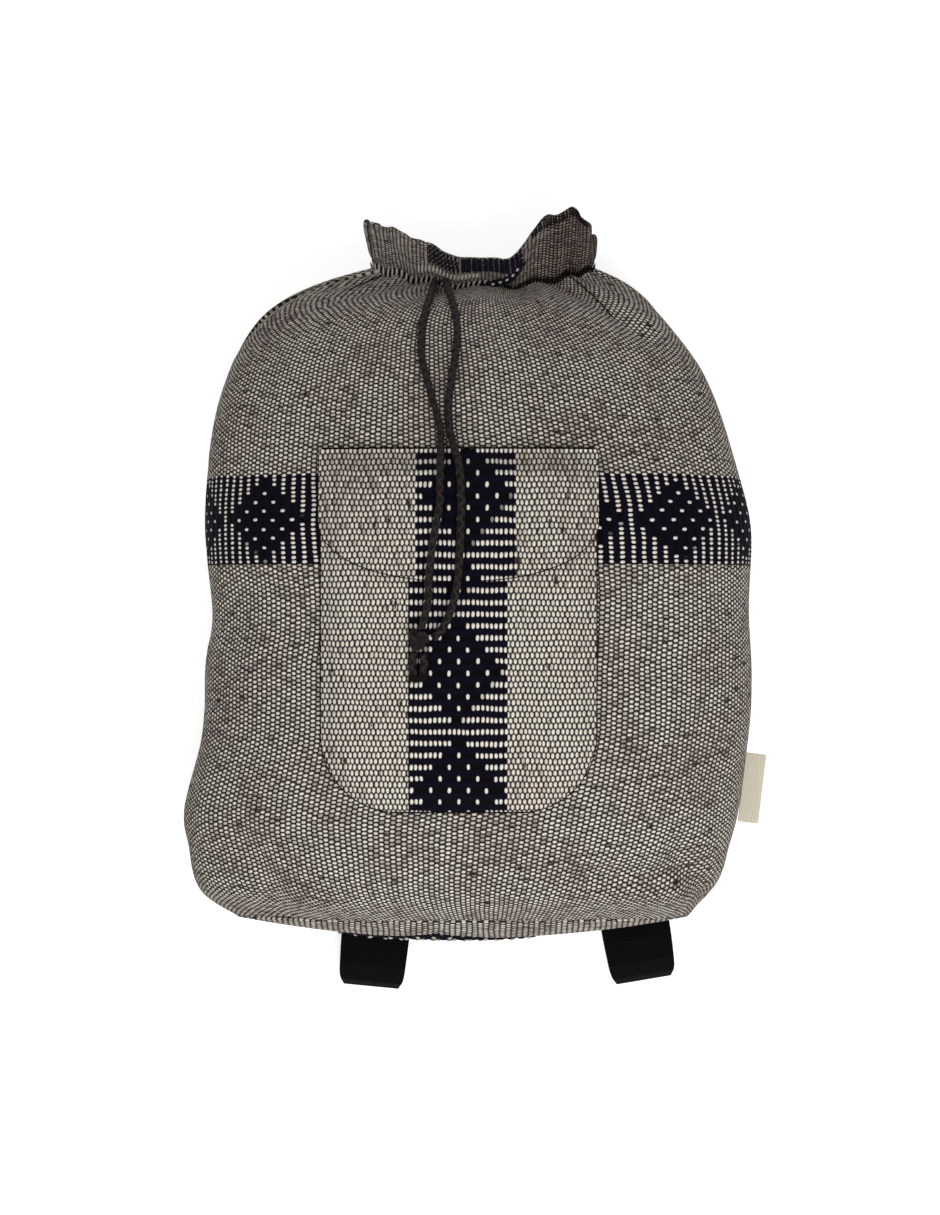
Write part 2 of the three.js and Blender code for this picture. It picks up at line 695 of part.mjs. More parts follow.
// From the base seam out in a loop, back under the bag, over the middle bar and out as a tail.
function lowerStrap(strap) {
  const seam = (ANCHOR_Y - STATIONS[0].y + LOOP_START) / Math.cos(strap.slant);
  const end = STRAP_REACH;
  const ahead = BUCKLE_BAR / 2 + TOUCH + WEBBING / 2;
  const path = [
    [seam, LOOP_TOP],
    [seam + 0.35 * (end - seam), LOOP_TOP + 0.4],
    [seam + 0.68 * (end - seam), LOOP_TOP - 3.5],
    [end - 4.4, LOOP_TOP - 10],
    [end - 1, LOOP_TOP - 16.5],
    [end - 2.4, 5.2],
    [end - 7, 1.9],
    [end - 14, ON_TABLE],
    [BUCKLE_PLACE + 3, ON_TABLE],
    [BUCKLE_PLACE - ahead + 1.6, ON_TABLE + 0.9],
    [BUCKLE_PLACE - ahead, BAR_HEIGHT - BUCKLE_THICKNESS / 2 - 0.4],
    ...roundCorner(BUCKLE_PLACE, -1, 1),
    ...roundCorner(BUCKLE_PLACE, 1, 1).reverse(),
    [BUCKLE_PLACE + ahead, BAR_HEIGHT - BUCKLE_THICKNESS / 2],
    [BUCKLE_PLACE + ahead + 1, ON_TABLE + LAYER + 0.3],
    [BUCKLE_PLACE + ahead + 2.6, ON_TABLE + LAYER],
    [BUCKLE_PLACE + TAIL_LENGTH, ON_TABLE + LAYER],
  ];
  const geometry = placeStrap(band(path, WEBBING, WEBBING_WIDTH), strap);
  return named(`lower_strap_${strap.name}`, geometry, cloth(BLACK_WEBBING));
}

// A ladder lock: a plate with rounded corners and two slots between its three bars.
function buckle(strap) {
  const [halfWidth, halfLength] = [BUCKLE_WIDTH / 2, 1.5 * BUCKLE_BAR + BUCKLE_SLOT];
  const corner = 3;
  const plate = new THREE.Shape();
  plate.moveTo(-halfWidth + corner, -halfLength);
  plate.lineTo(halfWidth - corner, -halfLength);
  plate.absarc(halfWidth - corner, -halfLength + corner, corner, -Math.PI / 2, 0);
  plate.absarc(halfWidth - corner, halfLength - corner, corner, 0, Math.PI / 2);
  plate.absarc(-halfWidth + corner, halfLength - corner, corner, Math.PI / 2, Math.PI);
  plate.absarc(-halfWidth + corner, -halfLength + corner, corner, Math.PI, Math.PI * 1.5);
  const inside = halfWidth - BUCKLE_SIDE;
  for (const side of [-1, 1]) {
    const near = side * (BUCKLE_BAR / 2);
    const far = side * (BUCKLE_BAR / 2 + BUCKLE_SLOT);
    const slot = [[-inside, near], [inside, near], [inside, far], [-inside, far]];
    plate.holes.push(new THREE.Path(slot.map(([x, y]) => new THREE.Vector2(x, y))));
  }
  const options = { depth: BUCKLE_THICKNESS, bevelEnabled: false, curveSegments: 3 };
  const geometry = new THREE.ExtrudeGeometry(plate, options);
  geometry.translate(0, -BUCKLE_PLACE, BAR_HEIGHT - BUCKLE_THICKNESS / 2);
  const nylon = new THREE.MeshStandardMaterial({ color: BLACK_NYLON, roughness: 0.45, metalness: 0 });
  return named(`strap_buckle_${strap.name}`, placeStrap(geometry, strap), nylon);
}

// A ribbon folded double, sewn into the right side seam.
function sideTab() {
  const t = stationOf(TAB_Y);
  const seam = sackPoint(seamAt(t), t, 0, 1, DIAMONDS_ACROSS_FRONT);
  const apart = TAB_RIBBON + TOUCH;
  const path = [
    [0, apart / 2],
    [-TAB_WIDTH + 1, apart / 2 + 0.3],
    [-TAB_WIDTH, 0],
    [-TAB_WIDTH + 1, -apart / 2 - 0.3],
    [0, -apart / 2],
  ];
  const geometry = band(path, TAB_RIBBON, TAB_LENGTH).rotateZ(-Math.PI / 2 + TAB_LEAN);
  geometry.translate(seam.x + TAB_OUT, seam.y, seam.z);
  return named('side_tab', geometry, cloth(CREAM_RIBBON));
}

// Drawstring

function cord(name, route, steps) {
  const outline = [];
  for (let k = 0; k < CORD_SIDES; k += 1) {
    const angle = (2 * Math.PI * k) / CORD_SIDES;
    outline.push(new THREE.Vector2(Math.cos(angle), Math.sin(angle)).multiplyScalar(CORD_DIAMETER / 2));
  }
  const extrudePath = new THREE.CatmullRomCurve3(route.map((point) => new THREE.Vector3(...point)));
  const options = { steps, extrudePath, bevelEnabled: false };
  const geometry = new THREE.ExtrudeGeometry(new THREE.Shape(outline), options);
  return named(name, geometry, cloth(BLACK_CORD));
}

// The two strands knotted together: a barrel of two turns.
function knot() {
  const lower = [[0, -6], [3.4, -5.6], [5.4, -3.6], [5.6, -1.8]];
  const upper = [[4.8, -0.4], [5.5, 1.4], [5.2, 3.6], [3.2, 5.2], [0, 5.6]];
  const profile = [...lower, ...upper].map(([radius, up]) => new THREE.Vector2(radius, up));
  const geometry = new THREE.LatheGeometry(profile, 12);
  geometry.scale(1, 1, KNOT_FLATNESS).rotateZ(KNOT_LEAN).translate(...KNOT_PLACE);
  return named('drawstring_knot', geometry, cloth(BLACK_CORD));
}

const bag = new THREE.Group();
bag.name = 'woven_drawstring_backpack';
bag.add(frontPanel(), backPanel(), basePanel(), casing(), pouch(), flap(), sideTab());
for (const strap of STRAPS) bag.add(upperStrap(strap), lowerStrap(strap), buckle(strap));
bag.add(cord('drawstring_left', CORD_LEFT, CORD_STEPS), cord('drawstring_right', CORD_RIGHT, CORD_STEPS));
bag.add(knot(), cord('drawstring_end_left', TAIL_LEFT, TAIL_STEPS));
bag.add(cord('drawstring_end_right', TAIL_RIGHT, TAIL_STEPS));
for (const mesh of bag.children) mesh.geometry.translate(...FOOTPRINT_SHIFT, 0);

export default bag;
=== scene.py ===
# Looks of a hand-woven drawstring backpack, stuffed and lying on its back.
# Metres. The cloth follows the same stations as the frame's solids, with finer folds and its weave.
import math

import bmesh
import bpy
import numpy as np
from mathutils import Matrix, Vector


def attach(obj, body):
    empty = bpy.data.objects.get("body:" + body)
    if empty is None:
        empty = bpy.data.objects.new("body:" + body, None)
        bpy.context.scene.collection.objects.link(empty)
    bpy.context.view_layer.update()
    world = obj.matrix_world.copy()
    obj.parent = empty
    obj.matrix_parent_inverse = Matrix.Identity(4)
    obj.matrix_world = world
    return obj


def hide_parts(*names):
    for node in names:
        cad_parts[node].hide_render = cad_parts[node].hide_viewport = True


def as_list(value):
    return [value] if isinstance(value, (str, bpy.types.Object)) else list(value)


# Photograph: one of its pixels at the height of the bag's outline, and where the frame's origin is in it
PHOTO_WIDTH = 940
PHOTO_HEIGHT = 1215
METRES_PER_PIXEL = 0.000545
ORIGIN_PIXEL = (475, 597)
OUTLINE_HEIGHT = 0.070
LENS = 100
SENSOR = 36

# The sack: y, half widths to the left and right, heights of the front and the back over the table
STATIONS = np.array([
    (-0.1735, 0.1310, 0.1175, 0.106, 0.030),
    (-0.1600, 0.1500, 0.1310, 0.128, 0.012),
    (-0.1370, 0.1565, 0.1395, 0.139, 0.001),
    (-0.1154, 0.1591, 0.1455, 0.146, -0.004),
    (-0.0745, 0.1490, 0.1500, 0.153, -0.005),
    (-0.0360, 0.1473, 0.1510, 0.155, -0.005),
    (-0.0090, 0.1433, 0.1506, 0.156, -0.005),
    (0.0400, 0.1477, 0.1504, 0.154, -0.005),
    (0.0890, 0.1439, 0.1384, 0.143, -0.004),
    (0.1217, 0.1357, 0.1259, 0.128, 0.000),
    (0.1462, 0.1236, 0.1090, 0.110, 0.007),
    (0.1625, 0.1068, 0.0959, 0.095, 0.016),
    (0.1735, 0.0840, 0.0825, 0.082, 0.026),
    (0.1820, 0.0545, 0.0645, 0.067, 0.038),
])
LAST = len(STATIONS) - 1
WIDEST_SHARE = 0.42
FRONT_FULLNESS = 2.5
BACK_FULLNESS = 3.4
NECK_DIP = 0.011
BACK_DIP = 0.008
NECK_DIP_STATIONS = 3
SEAM_FORWARD = 0.26
SEAM_FORWARD_STATIONS = 3.5
SEAM_PUCKER = 0.0014
SEAM_PUCKER_REACH = 0.1
PUCKER_CLEAR = 0.02
BASE_SAG = 0.012
GATHERS = 16
GATHER_DEPTH = 0.0032
GATHER_STATIONS = 2.6
CLOTH = 0.0022
SEAM_GAP = 0.0007
TOUCH = 0.00035

# How far a panel's ends stay from the first and the last station, for its seams
EDGE_STATIONS = 0.03

# Slack cloth: where it turns taut round the pocket, towards the sides and below the neck
POCKET_TAUT = 0.002
POCKET_SLACK = 0.014
SIDE_SLACK = (0.9, 0.1)
NECK_TAUT_STATIONS = 1.2

# Slow waves of slack cloth: height, (turns, bends, bend) across and along, and how far they sink
SACK_WAVES = (0.0007, (71, 43, 1.3), (61, 37, 1.7), 0.6)
POCKET_WAVES = (0.0004, (130, 55, 2), (96, 70, 1.5), 1)

# From the middle of the sack's waist to the frame's origin
FOOTPRINT_SHIFT = np.array([-0.0006, 0.0039, 0.0])

# Straps under the bag. ON_TABLE is the height of webbing that lies on the table, LAYER a layer's step
WEBBING_WIDTH = 0.038
WEBBING = 0.0018
ANCHOR_Y = 0.158
BUCKLE_PLACE = 0.262
BUCKLE_WIDTH = 0.046
STRAP_REACH = 0.379
CLIMB = 0.048
LOOP_START = 0.0032
LOOP_TOP = 0.026
BUCKLE_BAR = 0.0034
BUCKLE_SLOT = 0.0052
BUCKLE_THICKNESS = 0.0026
TAIL_LENGTH = 0.052
HEM_LENGTH = 0.024
WEBBING_RIB = 0.0019
WEBBING_RELIEF = 0.00016
WEBBING_PICK = 0.0012
ON_TABLE = WEBBING / 2
LAYER = WEBBING + TOUCH
FIRST_BAR = BUCKLE_PLACE - BUCKLE_BAR - BUCKLE_SLOT
BAR_HEIGHT = 2 * LAYER + BUCKLE_THICKNESS / 2
DENT_MARGIN = 0.010
DENT_BLEND = 0.011
STRAPS = {"left": (-0.022, -0.0965), "right": (0.032, 0.1676)}

# Side tab
TAB_LENGTH = 0.038
TAB_WIDTH = 0.011
TAB_RIBBON = 0.0007
TAB_Y = -0.104
TAB_LEAN = -0.12
TAB_OUT = 0.0004
RIBBON_RIB = 0.0009
RIBBON_RELIEF = 0.00004
RIBBON_PICK = 0.0006

# Front pocket
POCKET_LEFT = -0.0805
POCKET_RIGHT = 0.063
POCKET_TOP = 0.077
POCKET_BOTTOM = -0.1125
POCKET_CORNER = 0.040
POCKET_PUFF = 0.0085
POCKET_EDGE_ROLL = 0.015
POUCH_MOUTH = 0.060
FLAP_STRAIGHT = 0.036
FLAP_DROP = 0.069
FLAP_CLOTH = 0.0024
FLAP_OVERHANG = 0.0012
FLAP_LIFT = 0.0017
FLAP_ROUNDING = 2.2
FLAP_ROUND_SHARE = 0.55
FLAP_TIP_SHARE = 0.985
FLAP_WAVE_SHARE = 0.25
POUCH_SEAM_INSET = 0.0035
POUCH_SEAM_WIDTH = 0.0012
POUCH_SEAM_DEPTH = 0.0006
POCKET_MIDDLE = (POCKET_LEFT + POCKET_RIGHT) / 2
POCKET_HALF = (POCKET_RIGHT - POCKET_LEFT) / 2

# Drawstring casing
CASING_THICKNESS = 0.005
CASING_CLEAR = 0.75
CASING_FRONT = 0.014
CASING_BACK = 0.0115
CASING_LEFT = 0.0255
CASING_RIGHT = 0.036
CASING_LEFT_RISE = 0.85
CASING_RIGHT_RISE = (0.15, 0.62)
CASING_RIGHT_PEAK = 0.72
CASING_RIGHT_FALL = 0.019
CASING_LEFT_FLARE = 0.18
CASING_FRONT_FLARE = 0.45
RUFFLES = 16
RUFFLE_DEPTH = 0.0013
CASING_COLUMNS = 560
CASING_ROWS = 44
CASING_MAP = 0.04

# Turned-in strip at the neck: how deep its two faces lie, and its rise and lean past the neck
STRIP_FACES = (0.0006, 0.0017)
STRIP_TIP = ((0.0014, 0.0013), (0.0050, 0.0019))

# Weave
COLUMN_PITCH = 0.00300
GRAIN_PITCH = 0.00245
BAND_MIDDLE = 0.041
BAND_HEIGHT = 0.0485
DIAMONDS_ACROSS_FRONT = 7
POUCH_BAND_MIDDLE = -0.009
FLAP_BAND_MIDDLE = -0.005
POCKET_BAND_WIDTH = 0.0515
POCKET_DIAMOND = 0.064
BASE_DIAMOND = (-0.019, 0.066)
BASE_DIAMOND_HALF = 0.056

# Half the width over which the band's edge changes
BAND_BLUR = 0.0003

# Drawstring
CORD_DIAMETER = 0.0042
CORD_LEFT = [
    (-0.0218, 0.1722, 0.0719), (-0.0226, 0.1692, 0.0746), (-0.0230, 0.1666, 0.0815),
    (-0.0236, 0.1642, 0.0900), (-0.0244, 0.1606, 0.0967), (-0.0256, 0.1560, 0.1040),
    (-0.0273, 0.1495, 0.1102), (-0.0284, 0.1416, 0.1172), (-0.0286, 0.1294, 0.1262),
    (-0.0258, 0.1162, 0.1340), (-0.0219, 0.1020, 0.1409), (-0.0184, 0.0890, 0.1457),
    (-0.0180, 0.0810, 0.1490), (-0.0179, 0.0765, 0.1542), (-0.0180, 0.0708, 0.1609),
    (-0.0181, 0.0631, 0.1665), (-0.0183, 0.0550, 0.1693), (-0.0184, 0.0470, 0.1708),
    (-0.0216, 0.0291, 0.1728), (-0.0240, 0.0100, 0.1736), (-0.0244, -0.0030, 0.1722),
    (-0.0277, -0.0165, 0.1713),
]
CORD_RIGHT = [
    (-0.0162, 0.1722, 0.0720), (-0.0153, 0.1692, 0.0756), (-0.0146, 0.1666, 0.0846),
    (-0.0138, 0.1642, 0.0912), (-0.0128, 0.1606, 0.0974), (-0.0116, 0.1560, 0.1044),
    (-0.0103, 0.1495, 0.1106), (-0.0095, 0.1416, 0.1174), (-0.0102, 0.1294, 0.1266),
    (-0.0122, 0.1162, 0.1344), (-0.0138, 0.1020, 0.1412), (-0.0134, 0.0890, 0.1460),
    (-0.0119, 0.0810, 0.1490), (-0.0108, 0.0765, 0.1543), (-0.0090, 0.0708, 0.1610),
    (-0.0078, 0.0631, 0.1666), (-0.0074, 0.0550, 0.1696), (-0.0072, 0.0470, 0.1712),
    (-0.0078, 0.0291, 0.1732), (-0.0089, 0.0100, 0.1740), (-0.0116, -0.0040, 0.1722),
    (-0.0164, -0.0156, 0.1708), (-0.0217, -0.0219, 0.1709),
]
KNOT_PLACE = (-0.0295, -0.0224, 0.1712)
KNOT_TURN = -0.3
KNOT_SCALE = (0.00132, 0.00145, 0.0021)
BRAID_PITCH = 0.0062
BRAID_CORE = 0.88
BRAID_RELIEF = 0.12
TAIL_LEFT = [(-0.0315, -0.0289, 0.1699), (-0.0323, -0.0340, 0.1686), (-0.0320, -0.0404, 0.1682)]
TAIL_RIGHT = [(-0.0268, -0.0299, 0.1698), (-0.0264, -0.0345, 0.1686), (-0.0270, -0.0394, 0.1682)]

# Yarns of a frayed end, and the angle that spreads them evenly over a round
FRAYED_YARNS = 26
GOLDEN_ANGLE = 2.399

# Colours, as sRGB
CREAM_YARN = (1.0, 0.97, 0.93)
GREY_YARN = (0.62, 0.595, 0.57)
DARK_WARP = (0.205, 0.185, 0.172)
NAVY_YARN = (0.062, 0.057, 0.115)
BLACK_YARN = (0.035, 0.028, 0.032)
BRAID_DARK = (0.030, 0.021, 0.019)
# The braid's painted highlight, laid on the crests of its strands
BRAID_PAINTED_HIGHLIGHT = (0.24, 0.20, 0.19)

# Weave of the casing: pitches of its columns and grains, and the stretch round the neck where painted shade
# darkens it
CASING_PITCHES = (0.0021, 0.0017)
CASING_SHADED = (0.155, 0.185)

# Weave of the pocket: its pitches, the shares of them that a grain fills, and the warp's colour
POCKET_WEAVE = {"pitches": (0.00305, 0.00245), "grain": (0.242, 0.37), "warp": (0.21, 0.19, 0.175)}

# How strongly the white world lights the bag, and half the floor's width
WORLD_LIGHT = 0.28
FLOOR_HALF = 3


# Sack surface

def ease(value, low, high):
    """0 up to low, 1 from high on, and smooth between them."""
    share = np.clip((value - low) / (high - low), 0, 1)
    return share * share * (3 - 2 * share)


def fade(distance, flat, blend):
    """1 over a flat distance, and 0 beyond a blend after it."""
    return 1 - ease(distance, flat, flat + blend)


def bell(distance, width):
    """1 at no distance, and less to both sides."""
    return np.exp(-(distance / width) ** 2)


def catmull_rom(a, b, c, d, f):
    """A smooth curve through four points, at a share f of its way from the second to the third."""
    square, cube = 2 * a - 5 * b + 4 * c - d, 3 * b - a - 3 * c + d
    return 0.5 * (2 * b + (c - a) * f + square * f ** 2 + cube * f ** 3)


def station_at(t):
    """Station t's y, middle and half width, and the heights of its front, back and widest place."""
    t = np.asarray(t, float)
    i = np.clip(np.floor(t).astype(int), 0, LAST - 1)
    f = (t - i)[..., None]
    around = (STATIONS[np.clip(i + k, 0, LAST)] for k in (-1, 0, 1, 2))
    y, left, right, front, back = np.moveaxis(catmull_rom(*around, f), -1, 0)
    low = np.maximum(back, 0)
    return y, (right - left) / 2, (right + left) / 2, front, back, low + (front - low) * WIDEST_SHARE


STATION_STEPS = np.linspace(0, LAST, 4801)
STATION_HEIGHTS = station_at(STATION_STEPS)[0]


def station_of(y):
    return np.interp(y, STATION_HEIGHTS, STATION_STEPS)


def signed_power(value, power):
    return np.sign(value) * np.abs(value) ** power


def round_share(x, middle, half, fullness):
    """Share of a section's full height at x."""
    aside = np.clip(np.abs(x - middle) / half, 0, 1)
    return (1 - aside ** fullness) ** (1 / fullness)


def run_along(points):
    """Length of a line of points up to each of them."""
    return np.concatenate([[0], np.cumsum(np.linalg.norm(np.diff(points, axis=0), axis=1))])


def unit(vectors):
    return vectors / np.linalg.norm(vectors, axis=-1, keepdims=True)


def points_at(line, run, places):
    """Points of a line at lengths along it."""
    return np.stack([np.interp(places, run, line[:, k]) for k in range(line.shape[1])], -1)


def dent(x, y):
    """How far the straps and buckles press into the back."""
    height = np.zeros(np.broadcast(x, y).shape)
    for strap_x, slant in STRAPS.values():
        dx, dy = x - strap_x, y - ANCHOR_Y
        across = np.abs(dx * math.cos(slant) + dy * math.sin(slant))
        along = dx * math.sin(slant) - dy * math.cos(slant)
        first, last = FIRST_BAR - HEM_LENGTH, BUCKLE_PLACE + TAIL_LENGTH
        doubled = fade(np.abs(along - (first + last) / 2), (last - first) / 2 + DENT_MARGIN, DENT_BLEND)
        webbing = LAYER * (1 + doubled) * fade(across, WEBBING_WIDTH / 2 + DENT_MARGIN, DENT_BLEND)
        buckle = (BAR_HEIGHT + BUCKLE_THICKNESS / 2 + WEBBING + 2 * TOUCH) * fade(
            across, BUCKLE_WIDTH / 2 + DENT_MARGIN, DENT_BLEND) * fade(
            np.abs(along - BUCKLE_PLACE), 1.5 * BUCKLE_BAR + BUCKLE_SLOT + DENT_MARGIN, DENT_BLEND)
        height = np.maximum(height, np.maximum(webbing, buckle))
    return height


def sack_base(q, t):
    """The bare sack: q is 0 on the front's middle line, 1 and -1 at the sides, 2 and -2 on the back's."""
    q, t = np.broadcast_arrays(np.asarray(q, float), np.asarray(t, float))
    y, middle, half, front, back, widest = station_at(t)
    facing = np.cos(q * math.pi / 2)
    fullness = np.where(facing >= 0, FRONT_FULLNESS, BACK_FULLNESS)
    x = middle + half * signed_power(np.sin(q * math.pi / 2), 2 / fullness)
    z = widest + np.where(facing >= 0, front - widest, widest - back) * signed_power(facing, 2 / fullness)
    y = y - np.where(facing > 0, NECK_DIP, BACK_DIP) * ease(t, LAST - NECK_DIP_STATIONS, LAST) * facing ** 2
    z = np.where(facing < 0, np.maximum(z, dent(x, y)), z)
    return np.stack([x, y, z], -1)


def sack_normal(q, t):
    step = 1e-3
    around = sack_base(q + step, t) - sack_base(q - step, t)
    along = sack_base(q, np.minimum(LAST, t + step)) - sack_base(q, np.maximum(0, t - step))
    return unit(np.cross(around, along))


def seam_at(t):
    return 1 - SEAM_FORWARD * ease(t, LAST - SEAM_FORWARD_STATIONS, LAST)


def gather(q, t):
    depth = GATHER_DEPTH * ease(t, LAST - GATHER_STATIONS, LAST)
    return depth * (np.cos(q * GATHERS * math.pi / 2) - 1) / 2


# Where each crease starts and ends, its half width and its height
CREASES = [
    ((-0.045, 0.176), (-0.082, 0.160), 0.0045, -0.0026),
    ((0.046, 0.178), (0.088, 0.142), 0.0045, -0.0030),
    ((0.060, 0.176), (0.104, 0.140), 0.0050, 0.0016),
    ((-0.128, -0.125), (-0.104, -0.166), 0.0080, -0.0030),
    ((-0.140, -0.090), (-0.150, -0.150), 0.0070, 0.0016),
    ((0.104, -0.128), (0.128, -0.168), 0.0075, -0.0044),
    ((0.052, -0.150), (0.112, -0.146), 0.0065, -0.0034),
    ((0.070, -0.160), (0.118, -0.158), 0.0060, 0.0012),
    ((0.118, -0.060), (0.128, -0.118), 0.0090, -0.0018),
    ((-0.122, 0.010), (-0.136, -0.050), 0.0085, -0.0018),
    ((0.102, 0.112), (0.126, 0.052), 0.0080, -0.0014),
    ((-0.110, 0.118), (-0.128, 0.064), 0.0080, -0.0014),
    ((-0.092, -0.150), (-0.020, -0.160), 0.0090, -0.0012),
]

# Half the length over which a crease sets in, and how far it runs out past its end
CREASE_BLEND = 0.012
CREASE_TAIL = 0.018


def creases(x, y):
    """Soft folds of the front: from the neck to the shoulders, over its lower corners and down its sides."""
    height = np.zeros(np.broadcast(x, y).shape)
    for (ax, ay), (bx, by), width, depth in CREASES:
        dx, dy = bx - ax, by - ay
        length = math.hypot(dx, dy)
        along = ((x - ax) * dx + (y - ay) * dy) / length
        across = ((x - ax) * dy - (y - ay) * dx) / length
        end = ease(along, length - CREASE_BLEND, length + CREASE_TAIL)
        height += depth * (ease(along, -CREASE_BLEND, CREASE_BLEND) * (1 - end)) * bell(across, width)
    return height


def bent_waves(along, aside, turns, bends, bend):
    """Waves along one way, bent by slower ones along the other."""
    return np.sin(along * turns + bend * np.sin(aside * bends))


def waves(x, y, height, across, along, sunk):
    """Slow rise and fall of slack cloth."""
    return height * (bent_waves(x, y, *across) + bent_waves(y, x, *along) - sunk)


def past_pocket(distance, half):
    """0 over the pocket, and 1 from a little way outside it."""
    return ease(distance, half + POCKET_TAUT, half + POCKET_SLACK)


def sack_point(q, t, out=0.0):
    base = sack_base(q, t)
    x, y, z = base[..., 0], base[..., 1], base[..., 2]
    side = np.abs(np.abs(q) - seam_at(t))
    lift = -SEAM_PUCKER * fade(side, 0, SEAM_PUCKER_REACH) + gather(q, t)
    free = np.where(np.abs(q) < 1, 1.0, ease(z, CLOTH, PUCKER_CLEAR))
    outside = past_pocket(np.abs(x - POCKET_MIDDLE), POCKET_HALF) + past_pocket(
        np.abs(y - (POCKET_TOP + POCKET_BOTTOM) / 2), (POCKET_TOP - POCKET_BOTTOM) / 2)
    below_neck = 1 - ease(t, LAST - NECK_TAUT_STATIONS, LAST)
    slack = np.clip(outside, 0, 1) * fade(np.abs(q), *SIDE_SLACK) * below_neck
    folds = (creases(x, y) + np.minimum(0, waves(x, y, *SACK_WAVES))) * slack
    lift = lift * free + np.where(np.abs(q) < 1, folds, 0)
    return base + sack_normal(q, t) * (lift + out)[..., None]


def equal_steps(t, q_low, q_high, count):
    """Values of q that divide a stretch of the ring at t into equal lengths of cloth, and its length."""
    q = np.linspace(q_low, q_high, 401)
    length = run_along(sack_base(q, np.full_like(q, t)))
    wanted = SEAM_GAP / 2 + (length[-1] - SEAM_GAP) * np.linspace(0, 1, count + 1)
    return np.interp(wanted, length, q), length[-1]


# Meshes

def linked(name, data):
    """A new object in the scene."""
    obj = bpy.data.objects.new(name, data)
    bpy.context.scene.collection.objects.link(obj)
    return obj


def finish_mesh(name, verts, faces, uvs=None):
    mesh = bpy.data.meshes.new(name)
    mesh.from_pydata([tuple(v) for v in np.asarray(verts) + FOOTPRINT_SHIFT], [], [tuple(f) for f in faces])
    if uvs is not None:
        layer = mesh.uv_layers.new(name="Weave")
        loops = np.zeros(len(mesh.loops), np.int32)
        mesh.loops.foreach_get("vertex_index", loops)
        layer.data.foreach_set("uv", np.asarray(uvs, np.float32)[loops].ravel())
    mesh.polygons.foreach_set("use_smooth", [True] * len(mesh.polygons))
    return linked(name, mesh)


def grid_faces(rows, columns, closed=False, looped=False):
    """Faces of a grid of points. Closed joins a row's end to its start, looped the last row to the first."""
    r, c = np.meshgrid(np.arange(rows if looped else rows - 1), np.arange(columns if closed else columns - 1),
                       indexing="ij")
    here, after, beside = r * columns, (r + 1) % rows * columns, (c + 1) % columns
    return np.stack([here + c, here + beside, after + beside, after + c], -1).reshape(-1, 4)


def turn_outwards(obj):
    """Sets the faces of a closed mesh to point out of it."""
    bm = bmesh.new()
    bm.from_mesh(obj.data)
    bmesh.ops.recalc_face_normals(bm, faces=bm.faces)
    bm.to_mesh(obj.data)
    bm.free()
    return obj


def sheet_mesh(name, outer, inner, uv):
    """A cloth from its outer and inner grids of points, closed round its edge, with one UV for both faces."""
    rows, columns = outer.shape[:2]
    size = rows * columns
    top = grid_faces(rows, columns)
    index = np.arange(size).reshape(rows, columns)
    rim = np.concatenate([index[0, :], index[1:, -1], index[-1, -2::-1], index[-2:0:-1, 0]])
    after = np.roll(rim, -1)
    walls = np.stack([rim, rim + size, after + size, after], -1)
    faces = np.concatenate([top, top[:, ::-1] + size, walls[:, ::-1]])
    verts = np.concatenate([outer.reshape(-1, 3), inner.reshape(-1, 3)])
    return finish_mesh(name, verts, faces, np.concatenate([uv.reshape(-1, 2)] * 2))


def wall_cloth(name, columns, rows, limits, width):
    """A panel of the sack. Its UV is the place on the flat cloth: metres from its middle line and base."""
    heights = np.linspace(STATIONS[0, 0], STATIONS[-1, 0], rows)
    ts = station_of(heights)
    ts[0], ts[-1] = EDGE_STATIONS, LAST - EDGE_STATIONS
    spine = sack_base(np.full_like(ts, 0.0 if limits(0)[0] < 0 else 2.0), ts)
    outer, inner, uv = [], [], []
    for t, along in zip(ts, run_along(spine)):
        q, _ = equal_steps(t, *limits(t), columns)
        row_t = np.full_like(q, t)
        outer.append(sack_point(q, row_t))
        inner.append(sack_point(q, row_t, -CLOTH))
        uv.append(np.stack([np.linspace(-0.5, 0.5, columns + 1) * width, np.full(columns + 1, along)], -1))
    return sheet_mesh(name, np.array(outer), np.array(inner), np.array(uv))


def front_limits(t):
    return -seam_at(t), seam_at(t)


def back_limits(t):
    return seam_at(t), 4 - seam_at(t)


def spine_length(y, q=0.0):
    """Length of cloth from the base seam to a height, along the front's or the back's middle line."""
    t = np.linspace(EDGE_STATIONS, float(station_of(y)), 400)
    return float(run_along(sack_base(np.full_like(t, q), t))[-1])


def base_cloth():
    """The base: rings of cloth from its seam to its middle, which sags."""
    fronts, backs, rings = 110, 80, 26
    q = np.concatenate([equal_steps(0, *front_limits(0), fronts)[0],
                        equal_steps(0, *back_limits(0), backs)[0]])
    y, middle, half, front, back, _ = station_at(0.0)
    centre = np.array([middle, y - SEAM_GAP / 2, (front + back) / 2])
    rim = sack_point(q, np.zeros_like(q))
    rim[:, 1] = centre[1]
    normal = sack_normal(q, np.zeros_like(q))
    count = len(q)

    def face(out):
        rows = []
        for ring in range(rings):
            points = centre + (rim - centre) * (1 - SEAM_GAP / 2 / half) * (1 - ring / rings)
            points[:, 1] -= BASE_SAG * (1 - (1 - ring / rings) ** 2)
            rows.append(points + (normal if ring == 0 else np.array([0, -1, 0])) * out)
        return np.concatenate(rows + [[centre - [0, BASE_SAG + out, 0]]])

    outer, inner = face(0.0), face(-CLOTH)
    size = len(outer)
    sides = grid_faces(rings, count, closed=True)
    i = np.arange(count)
    after, last = (i + 1) % count, (rings - 1) * count
    cap = np.stack([last + i, last + after, np.full(count, size - 1)], -1)
    edge = np.stack([i, size + i, size + after, after], -1)
    faces = [*sides[:, ::-1], *cap[:, ::-1], *(sides + size), *(cap + size), *edge[:, ::-1]]
    verts = np.concatenate([outer, inner])
    return turn_outwards(finish_mesh("woven_base", verts, faces, np.stack([verts[:, 0], verts[:, 2]], -1)))


# Drawstring casing

